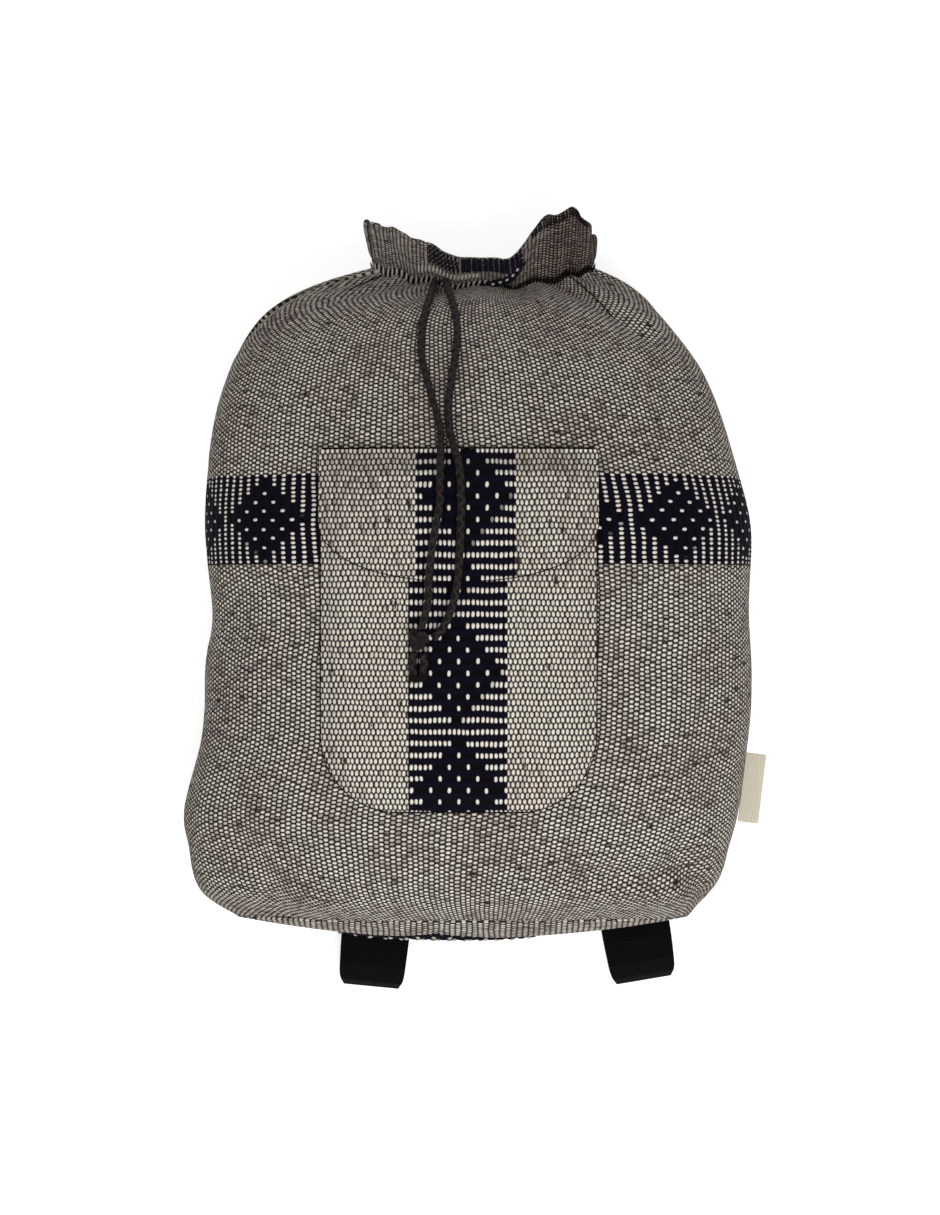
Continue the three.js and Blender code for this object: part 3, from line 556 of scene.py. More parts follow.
def casing_foot(q):
    """The casing's foot on the neck ring, its way up and its way out, for places q round the neck."""
    t = np.full_like(q, float(LAST))
    foot = sack_point(q, t, -CLOTH / 2)
    step = 0.02
    around = sack_base(q + step, t) - sack_base(q - step, t)
    outward = unit(np.stack([-around[:, 2], np.zeros(len(q)), around[:, 0]], -1))
    facing = np.cos(q * math.pi / 2)
    _, middle, half, *_ = station_at(t)
    aside = (sack_base(q, t)[:, 0] - middle) / half
    past = np.clip((aside - CASING_RIGHT_PEAK) / (1 - CASING_RIGHT_PEAK), 0, 1)
    ends = np.where(aside < 0, ease(-aside, 0, CASING_LEFT_RISE), ease(aside, *CASING_RIGHT_RISE))
    peak = np.where(aside < 0, CASING_LEFT, CASING_RIGHT - CASING_RIGHT_FALL * past ** 2)
    height = peak * ends + np.where(facing > 0, CASING_FRONT, CASING_BACK) * (1 - ends)
    flare = np.where(aside < 0, CASING_LEFT_FLARE * ends, 0) + CASING_FRONT_FLARE * np.maximum(0, facing) ** 2
    flare = flare[:, None]
    up = np.array([0, 1, 0])
    rise = up * np.cos(flare) + outward * np.sin(flare)
    across = outward * np.cos(flare) - up * np.sin(flare)
    clear = TOUCH + CASING_CLEAR * CLOTH + 0.3 * CASING_THICKNESS * np.sin(flare[:, 0])
    return foot, rise, across, height, clear


def casing_places():
    """Places q at equal steps round the neck, from the middle of its back."""
    q = np.linspace(-2, 2, 2001)
    run = run_along(sack_base(q, np.full_like(q, float(LAST))))
    return np.interp(np.linspace(0, run[-1], CASING_COLUMNS + 1)[:-1], run, q)


def ruffle(q):
    """Even gathers round the hem, with two finer and shallower sets among them."""
    even = np.cos(q * RUFFLES * math.pi / 2)
    return RUFFLE_DEPTH * (even + 0.35 * np.cos(q * 41 + 1) + 0.25 * np.cos(q * 67))


def casing_line(q, up, over):
    """Points on the casing at shares of its height and half its thickness."""
    foot, rise, across, height, clear = casing_foot(q)
    out = over * CASING_THICKNESS + up * ruffle(q)
    return foot + rise * (clear + up * height)[:, None] + across * out[:, None]


def seam_allowance():
    """The strip of cloth turned in behind the neck seam."""
    q = casing_places()
    neck = np.full_like(q, float(LAST))
    rows = []
    for deep, way in zip(STRIP_FACES, (1, -1)):
        out = -CLOTH - deep
        face = [sack_point(q, neck - below, out) for below in (0.9, 0.6, 0.3, 0.12, 0.0)]
        for rise, inward in STRIP_TIP:
            face.append(sack_point(q, neck, out - inward) + [0, rise, 0])
        rows += face[::way]
    faces = grid_faces(len(rows), len(q), closed=True, looped=True)
    uv = np.tile(np.stack([q * 0.1, q * 0], -1), (len(rows), 1))
    return turn_outwards(finish_mesh("neck_seam_allowance", np.concatenate(rows), faces, uv))


def casing_profile():
    """Section of the folded hem, as shares of its height and thickness, and its places on the weave map."""
    section = []
    for k in range(CASING_ROWS):
        angle = 2 * math.pi * (k + 0.5) / CASING_ROWS
        up = 0.5 - 0.5 * signed_power(math.cos(angle), 0.36)
        over = 0.5 * signed_power(math.sin(angle), 0.5)
        pinch = 1 - 0.35 * bell(up - 0.16, 0.06)
        section.append((up, over * pinch * (0.75 + 0.25 * (1 - abs(2 * up - 1) ** 4))))
    return section, [CASING_MAP * abs(up) * (1 if over > 0 else -1) for up, over in section]


def casing_cloth():
    q = casing_places()
    around = run_along(casing_foot(q)[0])
    profile, run = casing_profile()
    verts = np.concatenate([casing_line(q, up, over) for up, over in profile])
    uv = np.concatenate([np.stack([around, np.full_like(q, along)], -1) for along in run])
    faces = grid_faces(len(profile), len(q), closed=True, looped=True)
    return turn_outwards(finish_mesh("woven_casing", verts, faces, uv))


# Front pocket

def front_height(x, y):
    """Height of the bare front over the table."""
    _, middle, half, front, _, widest = station_at(station_of(y))
    return widest + (front - widest) * round_share(x, middle, half, FRONT_FULLNESS)


def pouch_half(y):
    into = POCKET_BOTTOM + POCKET_CORNER - y
    round_part = POCKET_HALF - POCKET_CORNER + np.sqrt(np.maximum(0, POCKET_CORNER ** 2 - into ** 2))
    return np.where(into <= 0, POCKET_HALF, round_part)


def pouch_edge(x, y):
    """How far a place on the pouch is from its edge."""
    return np.minimum(pouch_half(y) - np.abs(x - POCKET_MIDDLE), y - POCKET_BOTTOM)


def puff(x, y):
    return POCKET_PUFF * np.sin(np.clip(pouch_edge(x, y) / POCKET_EDGE_ROLL, 0, 1) * math.pi / 2)


def pocket_grid(y, half):
    """Places across the pocket's piece in rows, given each row's height and half width."""
    x = POCKET_MIDDLE + half[:, None] * np.sin(np.linspace(-1, 1, 121) * math.pi / 2)
    return x, np.broadcast_to(y[:, None], x.shape)


def pouch_cloth():
    shares = 0.004 + 0.996 * np.linspace(0, 1, 141)
    y = POCKET_BOTTOM + (POUCH_MOUTH - POCKET_BOTTOM) * shares ** 1.2
    x, y = pocket_grid(y, pouch_half(y))
    edge = pouch_edge(x, y)
    seam = POUCH_SEAM_DEPTH * bell(edge - POUCH_SEAM_INSET, POUCH_SEAM_WIDTH)
    slack = waves(x, y, *POCKET_WAVES) * ease(edge, 0, 0.02)
    z = front_height(x, y) + 1.3 * TOUCH + CLOTH + puff(x, y) - seam + slack
    outer = np.stack([x, y, z], -1)
    return sheet_mesh("woven_pouch", outer, outer - [0, 0, CLOTH], np.stack([y, x], -1))


def flap_half(drop):
    into = np.clip((drop - FLAP_STRAIGHT) / (FLAP_DROP - FLAP_STRAIGHT), 0, 1)
    return (POCKET_HALF + FLAP_OVERHANG) * (1 - into ** FLAP_ROUNDING) ** (1 / FLAP_ROUNDING)


def flap_low(x, y):
    """Height of the flap's underside."""
    over = ease(POCKET_TOP - y, 0, POCKET_TOP - POUCH_MOUTH - 0.002)
    held = CLOTH + FLAP_LIFT + puff(x, np.minimum(y, POUCH_MOUTH))
    return front_height(x, y) + TOUCH + held * over


def flap_cloth():
    drop = FLAP_DROP * np.sin(np.linspace(1, 0, 61) * FLAP_TIP_SHARE * math.pi / 2)
    x, y = pocket_grid(POCKET_TOP - drop, flap_half(drop))
    low = flap_low(x, y) + FLAP_WAVE_SHARE * np.maximum(0, waves(x, y, *POCKET_WAVES) + 0.0006)
    outer = np.stack([x, y, low + FLAP_CLOTH], -1)
    return sheet_mesh("woven_flap", outer, np.stack([x, y, low], -1), np.stack([y, x], -1))


# Webbing: each strap lies in a frame of its own, from its upper anchor down

def back_over(strap_x, slant, down):
    """Lowest height of the back's cloth across a strap at a distance down it."""
    across = np.linspace(-0.5, 0.5, 5) * WEBBING_WIDTH
    x = strap_x + across * math.cos(slant) + down * math.sin(slant)
    y = ANCHOR_Y + across * math.sin(slant) - down * math.cos(slant)
    _, middle, half, _, back, widest = station_at(station_of(y))
    return float((widest - (widest - back) * round_share(x, middle, half, BACK_FULLNESS)).min())


def round_corner(place, toward, up):
    """Places round a bar's corner, from its end towards its top or underside."""
    radius = TOUCH + WEBBING / 2
    return [(place + toward * (BUCKLE_BAR / 2 + radius * math.cos(angle)),
             BAR_HEIGHT + up * (BUCKLE_THICKNESS / 2 + radius * math.sin(angle)))
            for angle in (0, math.pi / 4, math.pi / 2)]


def upper_path(strap_x, slant):
    climb = [(down, max(ON_TABLE, back_over(strap_x, slant, down) - TOUCH - 1.6 * ON_TABLE))
             for down in np.linspace(0, CLIMB, 13)]
    return [
        *climb,
        (FIRST_BAR - 0.020, ON_TABLE),
        (FIRST_BAR - 0.007, ON_TABLE + 0.5 * LAYER),
        (FIRST_BAR - 0.003, ON_TABLE + LAYER),
        *round_corner(FIRST_BAR, 1, -1)[::-1],
        *round_corner(FIRST_BAR, 1, 1),
        *round_corner(FIRST_BAR, -1, 1)[::-1][:2],
        (FIRST_BAR - 0.0065, ON_TABLE + 2.3 * LAYER),
        (FIRST_BAR - 0.011, ON_TABLE + 1.5 * LAYER),
        (FIRST_BAR - 0.018, ON_TABLE + LAYER + 0.0002),
        (FIRST_BAR - HEM_LENGTH, ON_TABLE + LAYER),
    ]


def lower_path(slant):
    seam = (ANCHOR_Y - STATIONS[0, 0] + LOOP_START) / math.cos(slant)
    ahead = BUCKLE_BAR / 2 + TOUCH + WEBBING / 2
    return [
        (seam, LOOP_TOP),
        (seam + 0.35 * (STRAP_REACH - seam), LOOP_TOP + 0.0004),
        (seam + 0.68 * (STRAP_REACH - seam), LOOP_TOP - 0.0035),
        (STRAP_REACH - 0.0044, LOOP_TOP - 0.010),
        (STRAP_REACH - 0.001, LOOP_TOP - 0.0165),
        (STRAP_REACH - 0.0024, 0.0052),
        (STRAP_REACH - 0.007, 0.0019),
        (STRAP_REACH - 0.014, ON_TABLE),
        (BUCKLE_PLACE + 0.003, ON_TABLE),
        (BUCKLE_PLACE - ahead + 0.0016, ON_TABLE + 0.0009),
        (BUCKLE_PLACE - ahead, BAR_HEIGHT - BUCKLE_THICKNESS / 2 - 0.0004),
        *round_corner(BUCKLE_PLACE, -1, 1),
        *round_corner(BUCKLE_PLACE, 1, 1)[::-1],
        (BUCKLE_PLACE + ahead, BAR_HEIGHT - BUCKLE_THICKNESS / 2),
        (BUCKLE_PLACE + ahead + 0.001, ON_TABLE + LAYER + 0.0003),
        (BUCKLE_PLACE + ahead + 0.0026, ON_TABLE + LAYER),
        (BUCKLE_PLACE + TAIL_LENGTH, ON_TABLE + LAYER),
    ]


def smooth_path(path, step, softness):
    """A side-view path at equal steps, its corners softened over a length."""
    path = np.array(path)
    run = run_along(path)
    fine = np.linspace(0, run[-1], max(8, int(run[-1] / step)) + 1)
    points = points_at(path, run, fine)
    reach = max(1, int(softness / step / 2))
    before = points[:1] + (points[:1] - points[reach:0:-1])
    beyond = points[-1:] + (points[-1:] - points[-2:-reach - 2:-1])
    padded = np.concatenate([before, points, beyond])
    kernel = np.ones(2 * reach + 1) / (2 * reach + 1)
    return np.stack([np.convolve(padded[:, k], kernel, "valid") for k in range(2)], -1), fine


def ribbed_band(name, path, thickness, width, place, rib, relief, step, softness=0.0012, folded_at=None):
    """A flat woven band along a side-view path, with ribs across it and thinner selvedges."""
    points, run = smooth_path(path, step, softness)
    way = unit(np.gradient(points, axis=0))
    normal = np.stack([-way[:, 1], way[:, 0]], -1)
    shares = np.array([-1, -0.985, -0.95, -0.6, -0.2, 0.2, 0.6, 0.95, 0.985, 1])
    thin = np.array([0.35, 0.8, 1, 1, 1, 1, 1, 1, 0.8, 0.35])
    ribs = (thickness / 2 - relief * (0.5 + 0.5 * np.cos(run / rib * 2 * math.pi)))[:, None]
    near = 9.0 if folded_at is None else points[:, :1] - folded_at
    drawn_in = 0.13 * bell(near, 0.0042) + 0.05 * bell(near, 0.02)
    across = np.broadcast_to(shares * width / 2 * (1 - drawn_in), (len(points), len(shares)))
    grids = []
    for off in (ribs * thin, -ribs * thin):
        grids.append(place(across, points[:, :1] + normal[:, :1] * off, points[:, 1:] + normal[:, 1:] * off))
    uv = np.stack(np.broadcast_arrays(shares[None, :] * width / 2, run[:, None]), -1)
    return turn_outwards(sheet_mesh(name, *grids, uv))


def band_frame(x, y, z, slant):
    """A function that places a flat band's points: across it, down it and over the table."""
    cos, sin = math.cos(slant), math.sin(slant)

    def place(across, down, height):
        return np.stack([x + across * cos + down * sin, y + across * sin - down * cos, z + height], -1)

    return place


def side_tab():
    """A cream ribbon folded double, its ends sewn into the right side seam."""
    t = station_of(TAB_Y)
    x, y, z = sack_point(seam_at(t), t)
    apart = TAB_RIBBON + TOUCH
    path = [(0, apart / 2), (-TAB_WIDTH + 0.001, apart / 2 + 0.0003), (-TAB_WIDTH, 0),
            (-TAB_WIDTH + 0.001, -apart / 2 - 0.0003), (0, -apart / 2)]
    place = band_frame(x + TAB_OUT, y, z, -math.pi / 2 + TAB_LEAN)
    return ribbed_band("folded_ribbon", path, TAB_RIBBON, TAB_LENGTH, place, RIBBON_RIB, RIBBON_RELIEF,
                       step=0.00015, softness=0.0006)


# Cords

def smooth_route(route, step=0.0007):
    """Points a short step apart on a smooth curve through a route, and its length."""
    points = np.array(route)
    padded = np.concatenate([[2 * points[0] - points[1]], points, [2 * points[-1] - points[-2]]])
    curve = [catmull_rom(*four, f) for four in zip(padded, padded[1:], padded[2:], padded[3:])
             for f in np.linspace(0, 1, 20, endpoint=False)]
    curve = np.array(curve + [points[-1]])
    run = run_along(curve)
    return points_at(curve, run, np.linspace(0, run[-1], max(4, int(run[-1] / step)) + 1)), run[-1]


def braided_tube(name, route, radius, closed=False, sides=16):
    """A cord round a route, its surface raised where the strands of a round braid cross."""
    points = np.asarray(route)
    tangent = unit(np.gradient(points, axis=0))
    normal = np.cross(tangent[0], [0.3, 0.1, 0.9])
    angle = np.linspace(0, 2 * math.pi, sides, endpoint=False)
    rings, uv = [], []
    for point, way, run in zip(points, tangent, run_along(points)):
        normal = unit(normal - way * np.dot(normal, way))
        side = np.cross(way, normal)
        lay = run / BRAID_PITCH * 2 * math.pi
        weave = np.maximum(np.cos(2 * angle + lay), np.cos(2 * angle - lay + math.pi))
        reach = radius * (BRAID_CORE + BRAID_RELIEF * weave)
        outward = np.cos(angle)[:, None] * normal + np.sin(angle)[:, None] * side
        rings.append(point + outward * reach[:, None])
        uv.append(np.stack([angle / (2 * math.pi), np.full(sides, run)], -1))
    verts = np.concatenate(rings)
    faces = [tuple(face) for face in grid_faces(len(points), sides, closed=True, looped=closed)]
    if not closed:
        faces += [tuple(range(sides))[::-1], tuple(range(len(verts) - sides, len(verts)))]
    return turn_outwards(finish_mesh(name, verts, faces, np.concatenate(uv)))


def knot_route():
    """A tight overhand knot, flattened where it lies on the pocket."""
    t = np.linspace(0, 2 * math.pi, 260, endpoint=False)
    ring = np.stack([np.sin(t) + 2 * np.sin(2 * t), np.cos(t) - 2 * np.cos(2 * t), -np.sin(3 * t)], -1)
    ring *= KNOT_SCALE
    x, y, z = ring.T
    cos, sin = math.cos(KNOT_TURN), math.sin(KNOT_TURN)
    return np.stack([x * cos - y * sin, x * sin + y * cos, z], -1) + KNOT_PLACE


# Nodes

class Value:
    """A value in a node tree, for sums written with plain signs."""

    def __init__(self, nodes, socket):
        self.nodes, self.socket = nodes, socket

    def of(self, operation, other=None):
        return self.nodes.math(operation, self, other)

    def __add__(self, other):
        return self.of("ADD", other)

    def __sub__(self, other):
        return self.of("SUBTRACT", other)

    def __rsub__(self, other):
        return self.nodes.math("SUBTRACT", other, self)

    def __mul__(self, other):
        return self.of("MULTIPLY", other)

    def __truediv__(self, other):
        return self.of("DIVIDE", other)


class Nodes:
    """Short hand for building a node tree."""

    def __init__(self, tree):
        self.tree = tree

    def add(self, kind, inputs=None, **settings):
        """A node with its settings, its inputs fed by name or number."""
        node = self.tree.nodes.new(kind)
        for key, value in settings.items():
            setattr(node, key, value)
        self.feed(node, inputs or {})
        return node

    def feed(self, node, inputs):
        for key, value in inputs.items():
            if isinstance(value, Value):
                self.tree.links.new(value.socket, node.inputs[key])
            elif value is not None:
                node.inputs[key].default_value = value

    def out(self, node, key=0):
        return Value(self, node.outputs[key])

    def math(self, operation, a, b=None, clamp=False):
        return self.out(self.add("ShaderNodeMath", {0: a, 1: b}, operation=operation, use_clamp=clamp))

    def mix(self, share, a, b, blend="MIX"):
        inputs = {"Factor": share, "A": a, "B": b}
        return self.out(self.add("ShaderNodeMix", inputs, data_type="RGBA", blend_type=blend), "Result")

    def smooth(self, value, low, high, to_low=0.0, to_high=1.0):
        inputs = dict(enumerate((value, low, high, to_low, to_high)))
        return self.out(self.add("ShaderNodeMapRange", inputs, interpolation_type="SMOOTHSTEP"), "Result")

    def combine(self, x, y, z=0.0):
        return self.out(self.add("ShaderNodeCombineXYZ", {0: x, 1: y, 2: z}))

    def noise(self, place, scale, detail=2.0, dimensions="2D"):
        inputs = {"Vector": place, "Scale": scale, "Detail": detail}
        return self.out(self.add("ShaderNodeTexNoise", inputs, noise_dimensions=dimensions), "Fac")

    def weave(self):
        """A piece's own UV: the place, and its two measures."""
        uv = self.out(self.add("ShaderNodeUVMap", uv_map="Weave"), "UV")
        split = self.add("ShaderNodeSeparateXYZ", {0: uv})
        return uv, self.out(split, "X"), self.out(split, "Y")


def node_group(name, kind, inputs, outputs):
    """A group with its inputs as (label, type, default) and outputs as (label, type)."""
    tree = bpy.data.node_groups.new(name, kind)
    for label, socket_type, default in inputs:
        socket = tree.interface.new_socket(label, in_out="INPUT", socket_type="NodeSocket" + socket_type)
        if default is not None:
            socket.default_value = default
    for label, socket_type in outputs:
        tree.interface.new_socket(label, in_out="OUTPUT", socket_type="NodeSocket" + socket_type)
    n = Nodes(tree)
    given = n.add("NodeGroupInput")
    return n, {label: n.out(given, label) for label, *_ in inputs}, n.add("NodeGroupOutput")


# Threads: one tree of nodes lays a thread over each edge of a mesh

def thread_tree():
    n, given, made = node_group("a thread over each edge", "GeometryNodeTree", [
        ("Geometry", "Geometry", None), ("Thickness", "Float", None), ("Thread", "Material", None),
    ], [("Geometry", "Geometry")])
    ends = n.add("GeometryNodeInputMeshEdgeVertices")
    span = n.out(n.add("ShaderNodeVectorMath", {0: n.out(ends, "Position 2"), 1: n.out(ends, "Position 1")},
                       operation="SUBTRACT"), "Vector")
    length = n.add("ShaderNodeVectorMath", {0: span}, operation="LENGTH")
    align = n.add("FunctionNodeAlignRotationToVector", {"Vector": span}, axis="Z")
    kept = n.add("GeometryNodeCaptureAttribute", domain="EDGE")
    kept.capture_items.new("ROTATION", "Way")
    kept.capture_items.new("FLOAT", "Reach")
    n.feed(kept, {"Geometry": given["Geometry"], "Way": n.out(align, "Rotation"),
                  "Reach": n.out(length, "Value")})
    points = n.add("GeometryNodeMeshToPoints", {"Mesh": n.out(kept, "Geometry")}, mode="EDGES")
    bead = n.add("GeometryNodeMeshUVSphere", {"Segments": 6, "Rings": 5, "Radius": 0.5})
    place = n.add("GeometryNodeInstanceOnPoints", {
        "Points": n.out(points, "Points"), "Instance": n.out(bead, "Mesh"), "Rotation": n.out(kept, "Way"),
        "Scale": n.combine(given["Thickness"], given["Thickness"], n.out(kept, "Reach"))})
    real = n.add("GeometryNodeRealizeInstances", {"Geometry": n.out(place, "Instances")})
    paint = n.add("GeometryNodeSetMaterial", {"Geometry": n.out(real, "Geometry"),
                                              "Material": given["Thread"]})
    n.feed(made, {"Geometry": n.out(paint, "Geometry")})
    return n.tree


def threads(name, ends, thickness, material):
    """One plain mesh of threads, each between a pair of ends."""
    ends = np.asarray(ends).reshape(-1, 3) + FOOTPRINT_SHIFT
    mesh = bpy.data.meshes.new(name)
    mesh.from_pydata([tuple(end) for end in ends], [(k, k + 1) for k in range(0, len(ends), 2)], [])
    obj = linked(name, mesh)
    modifier = obj.modifiers.new("threads", "NODES")
    modifier.node_group = THREADS
    values = {"Thickness": thickness, "Thread": material}
    for item in THREADS.interface.items_tree:
        if item.in_out == "INPUT" and item.name in values:
            modifier[item.identifier] = values[item.name]
    bpy.context.view_layer.update()
    made = bpy.data.meshes.new_from_object(obj.evaluated_get(bpy.context.evaluated_depsgraph_get()))
    obj.modifiers.clear()
    obj.data = made
    made.polygons.foreach_set("use_smooth", [True] * len(made.polygons))
    return give(obj, material)


def along_line(line, pitch, length):
    """Ends of stitches laid along a line of points, from its start."""
    line = np.asarray(line)
    run = run_along(line)
    start = np.arange(0, run[-1] - length, pitch)
    return points_at(line, run, np.stack([start, start + length], -1))


def between_lines(one, other, pitch, slant=0.0):
    """Ends of stitches from one line to another, each a little further along on the other."""
    run = run_along(one)
    start = np.arange(0, run[-1] - abs(slant), pitch)
    return np.stack([points_at(one, run, start), points_at(other, run, start + slant)], 1)


def whipping(reach, foot, head, pitch, slant):
    """Ends of stitches over the casing, from a line at its foot to one above."""
    q = np.linspace(*reach)
    return between_lines(casing_line(q, *foot), casing_line(q, *head), pitch, slant)


def pocket_outline(lift):
    """A line round the pouch, from the flap down one side and up the other."""
    low = POCKET_BOTTOM + POCKET_CORNER
    left = np.stack([np.full(80, POCKET_MIDDLE - POCKET_HALF), np.linspace(0.034, low, 80)], -1)
    turn = np.linspace(math.pi, 1.5 * math.pi, 40)
    corner = np.stack([POCKET_MIDDLE - POCKET_HALF + POCKET_CORNER * (1 + np.cos(turn)),
                       low + POCKET_CORNER * np.sin(turn)], -1)
    half = np.concatenate([left, corner])
    x, y = np.concatenate([half, half[::-1] * (-1, 1) + (2 * POCKET_MIDDLE, 0)]).T
    return np.stack([x, y, front_height(x, y) + lift], -1)


def flap_outline(inset, lift):
    """A line round the flap's free edge, a distance inside it."""
    share = np.linspace(-1, 1, 301)
    aside = np.abs(share) / FLAP_ROUND_SHARE
    straight = FLAP_STRAIGHT * (1 - FLAP_ROUND_SHARE * (aside - 1) / (1 - FLAP_ROUND_SHARE))
    deep = FLAP_DROP - FLAP_STRAIGHT
    drop = np.where(aside > 1, straight, FLAP_STRAIGHT + deep * np.clip(1 - aside ** 2, 0, 1) ** 0.8)
    x = POCKET_MIDDLE + np.sign(share) * np.maximum(0, flap_half(drop) - inset)
    y = POCKET_TOP - drop + np.maximum(0, drop - FLAP_STRAIGHT) * inset / deep
    return np.stack([x, y, flap_low(x, y) + lift], -1)


def on_front(path):
    """Points of the front cloth under a path of (x, y), at even steps."""
    qs, ts = np.meshgrid(np.linspace(-0.99, 0.99, 360), np.linspace(LAST - 5, LAST - 0.01, 260))
    cloth = sack_point(qs.ravel(), ts.ravel(), 0.0004)
    path = np.array(path)
    wanted = points_at(path, np.arange(len(path)), np.linspace(0, len(path) - 1, 48))
    found = np.array([cloth[np.argmin(np.sum((cloth[:, :2] - place) ** 2, axis=1))] for place in wanted])
    found[1:-1] = (found[:-2] + found[1:-1] + found[2:]) / 3
    return found


def base_line(height, half_length):
    """A line across the sagging base at a height over the table, about the middle of its diamond."""
    _, middle, half, front_high, back_low, _ = station_at(0.0)
    x = BASE_DIAMOND[0] + np.linspace(-half_length, half_length, 200)
    centre, reach = (front_high + back_low) / 2, (front_high - back_low) / 2
    share = np.clip(np.hypot((x - middle) / half, (height - centre) / reach), 0, 1)
    y = STATIONS[0, 0] - SEAM_GAP / 2 - BASE_SAG * (1 - share ** 2) - 0.0003
    return np.stack([x, y, np.full_like(x, height)], -1)


# Materials

def colour(rgb):
    """An sRGB colour as the linear one that a socket holds."""
    return tuple(c / 12.92 if c <= 0.04045 else ((c + 0.055) / 1.055) ** 2.4 for c in rgb) + (1.0,)


def new_material(name, roughness, shine):
    """A material, short hand for its nodes, and its shader."""
    material = bpy.data.materials.new(name)
    material.use_nodes = True
    n = Nodes(material.node_tree)
    shader = material.node_tree.nodes["Principled BSDF"]
    n.feed(shader, {"Roughness": roughness, "Specular IOR Level": shine})
    return material, n, shader


def surface(n, shader, tint, relief, depth):
    """Gives a shader its colour and fine relief."""
    bump = n.add("ShaderNodeBump", {"Distance": depth, "Height": relief})
    n.feed(shader, {"Base Color": tint, "Normal": n.out(bump, "Normal")})


def grain_group():
    """Grains of weft over every other column of warp: their mask, height, place and a value for each."""
    n, given, made = node_group("grains", "ShaderNodeTree", [
        ("Across", "Float", 0.0), ("Along", "Float", 0.0), ("Column Pitch", "Float", COLUMN_PITCH),
        ("Grain Pitch", "Float", GRAIN_PITCH), ("Shift", "Float", 0.0), ("Width", "Float", 0.24),
        ("Length", "Float", 0.36),
    ], [(label, "Float") for label in ("Mask", "Height", "Value", "Column", "Row")])
    across = given["Across"] / (given["Column Pitch"] * 2.0) + given["Shift"] * 0.5
    along = given["Along"] / given["Grain Pitch"] + given["Shift"] * 0.5
    column, row = across.of("FLOOR"), along.of("FLOOR")
    value = n.out(n.add("ShaderNodeTexWhiteNoise", {"Vector": n.combine(column, row, given["Shift"])},
                        noise_dimensions="3D"), "Value")
    jitter = (value - 0.5) * 0.14
    dx = (across.of("FRACT") - 0.5) / given["Width"]
    dy = (along.of("FRACT") + jitter - 0.5) / given["Length"]
    square = dx.of("ABSOLUTE").of("POWER", 2.4) + dy.of("ABSOLUTE").of("POWER", 2.2)
    n.feed(made, {"Mask": n.smooth(square, 0.30, 1.35, 1.0, 0.0), "Value": value, "Column": column,
                  "Row": row, "Height": (1.0 - square).of("MAXIMUM", 0.0).of("SQRT")})
    return n.tree


def salt_and_pepper_group():
    """Colours of the grains: cream, grey and dark yarn, with slubs that run along the warp."""
    n, given, made = node_group("salt and pepper yarn", "ShaderNodeTree", [
        ("Value", "Float", 0.5), ("Place", "Vector", None), ("Light", "Float", 0.55)], [("Color", "Color")])
    stretch = n.add("ShaderNodeMapping", {"Vector": given["Place"], "Scale": (95, 300, 1)})
    streak = n.noise(n.out(stretch, "Vector"), 1.0)
    broad = n.noise(given["Place"], 24.0, 3.0)
    tone = given["Value"] * 0.45 + streak * 0.85 + broad * 0.55 - 0.93 + given["Light"]
    slub = n.smooth(streak + given["Value"] * 0.2, 0.28, 0.34)
    shade = n.mix(n.smooth(tone, 0.05, 0.85), colour(GREY_YARN), colour(CREAM_YARN))
    tinge = n.mix(n.smooth(broad, 0.35, 0.65), (1.0, 0.935, 0.915, 1), (0.955, 0.965, 0.93, 1))
    tinted = n.mix(1.0, shade, tinge, "MULTIPLY")
    n.feed(made, {"Color": n.mix(slub, colour(DARK_WARP), tinted)})
    return n.tree


def grains_and_yarn(n, uv, across, along, shift, pitches, grain, light):
    """One set of grains with its colour: mask, height, tint, and the grain's column and row."""
    grains = n.add("ShaderNodeGroup", node_tree=GRAINS)
    n.feed(grains, {"Across": across, "Along": along, "Column Pitch": pitches[0], "Grain Pitch": pitches[1],
                    "Shift": shift, "Width": grain[0], "Length": grain[1]})
    yarn = n.add("ShaderNodeGroup", node_tree=YARN)
    n.feed(yarn, {"Value": n.out(grains, "Value"), "Place": uv, "Light": light})
    return (n.out(grains, "Mask"), n.out(grains, "Height"), n.out(yarn, "Color"),
            n.out(grains, "Column"), n.out(grains, "Row"))


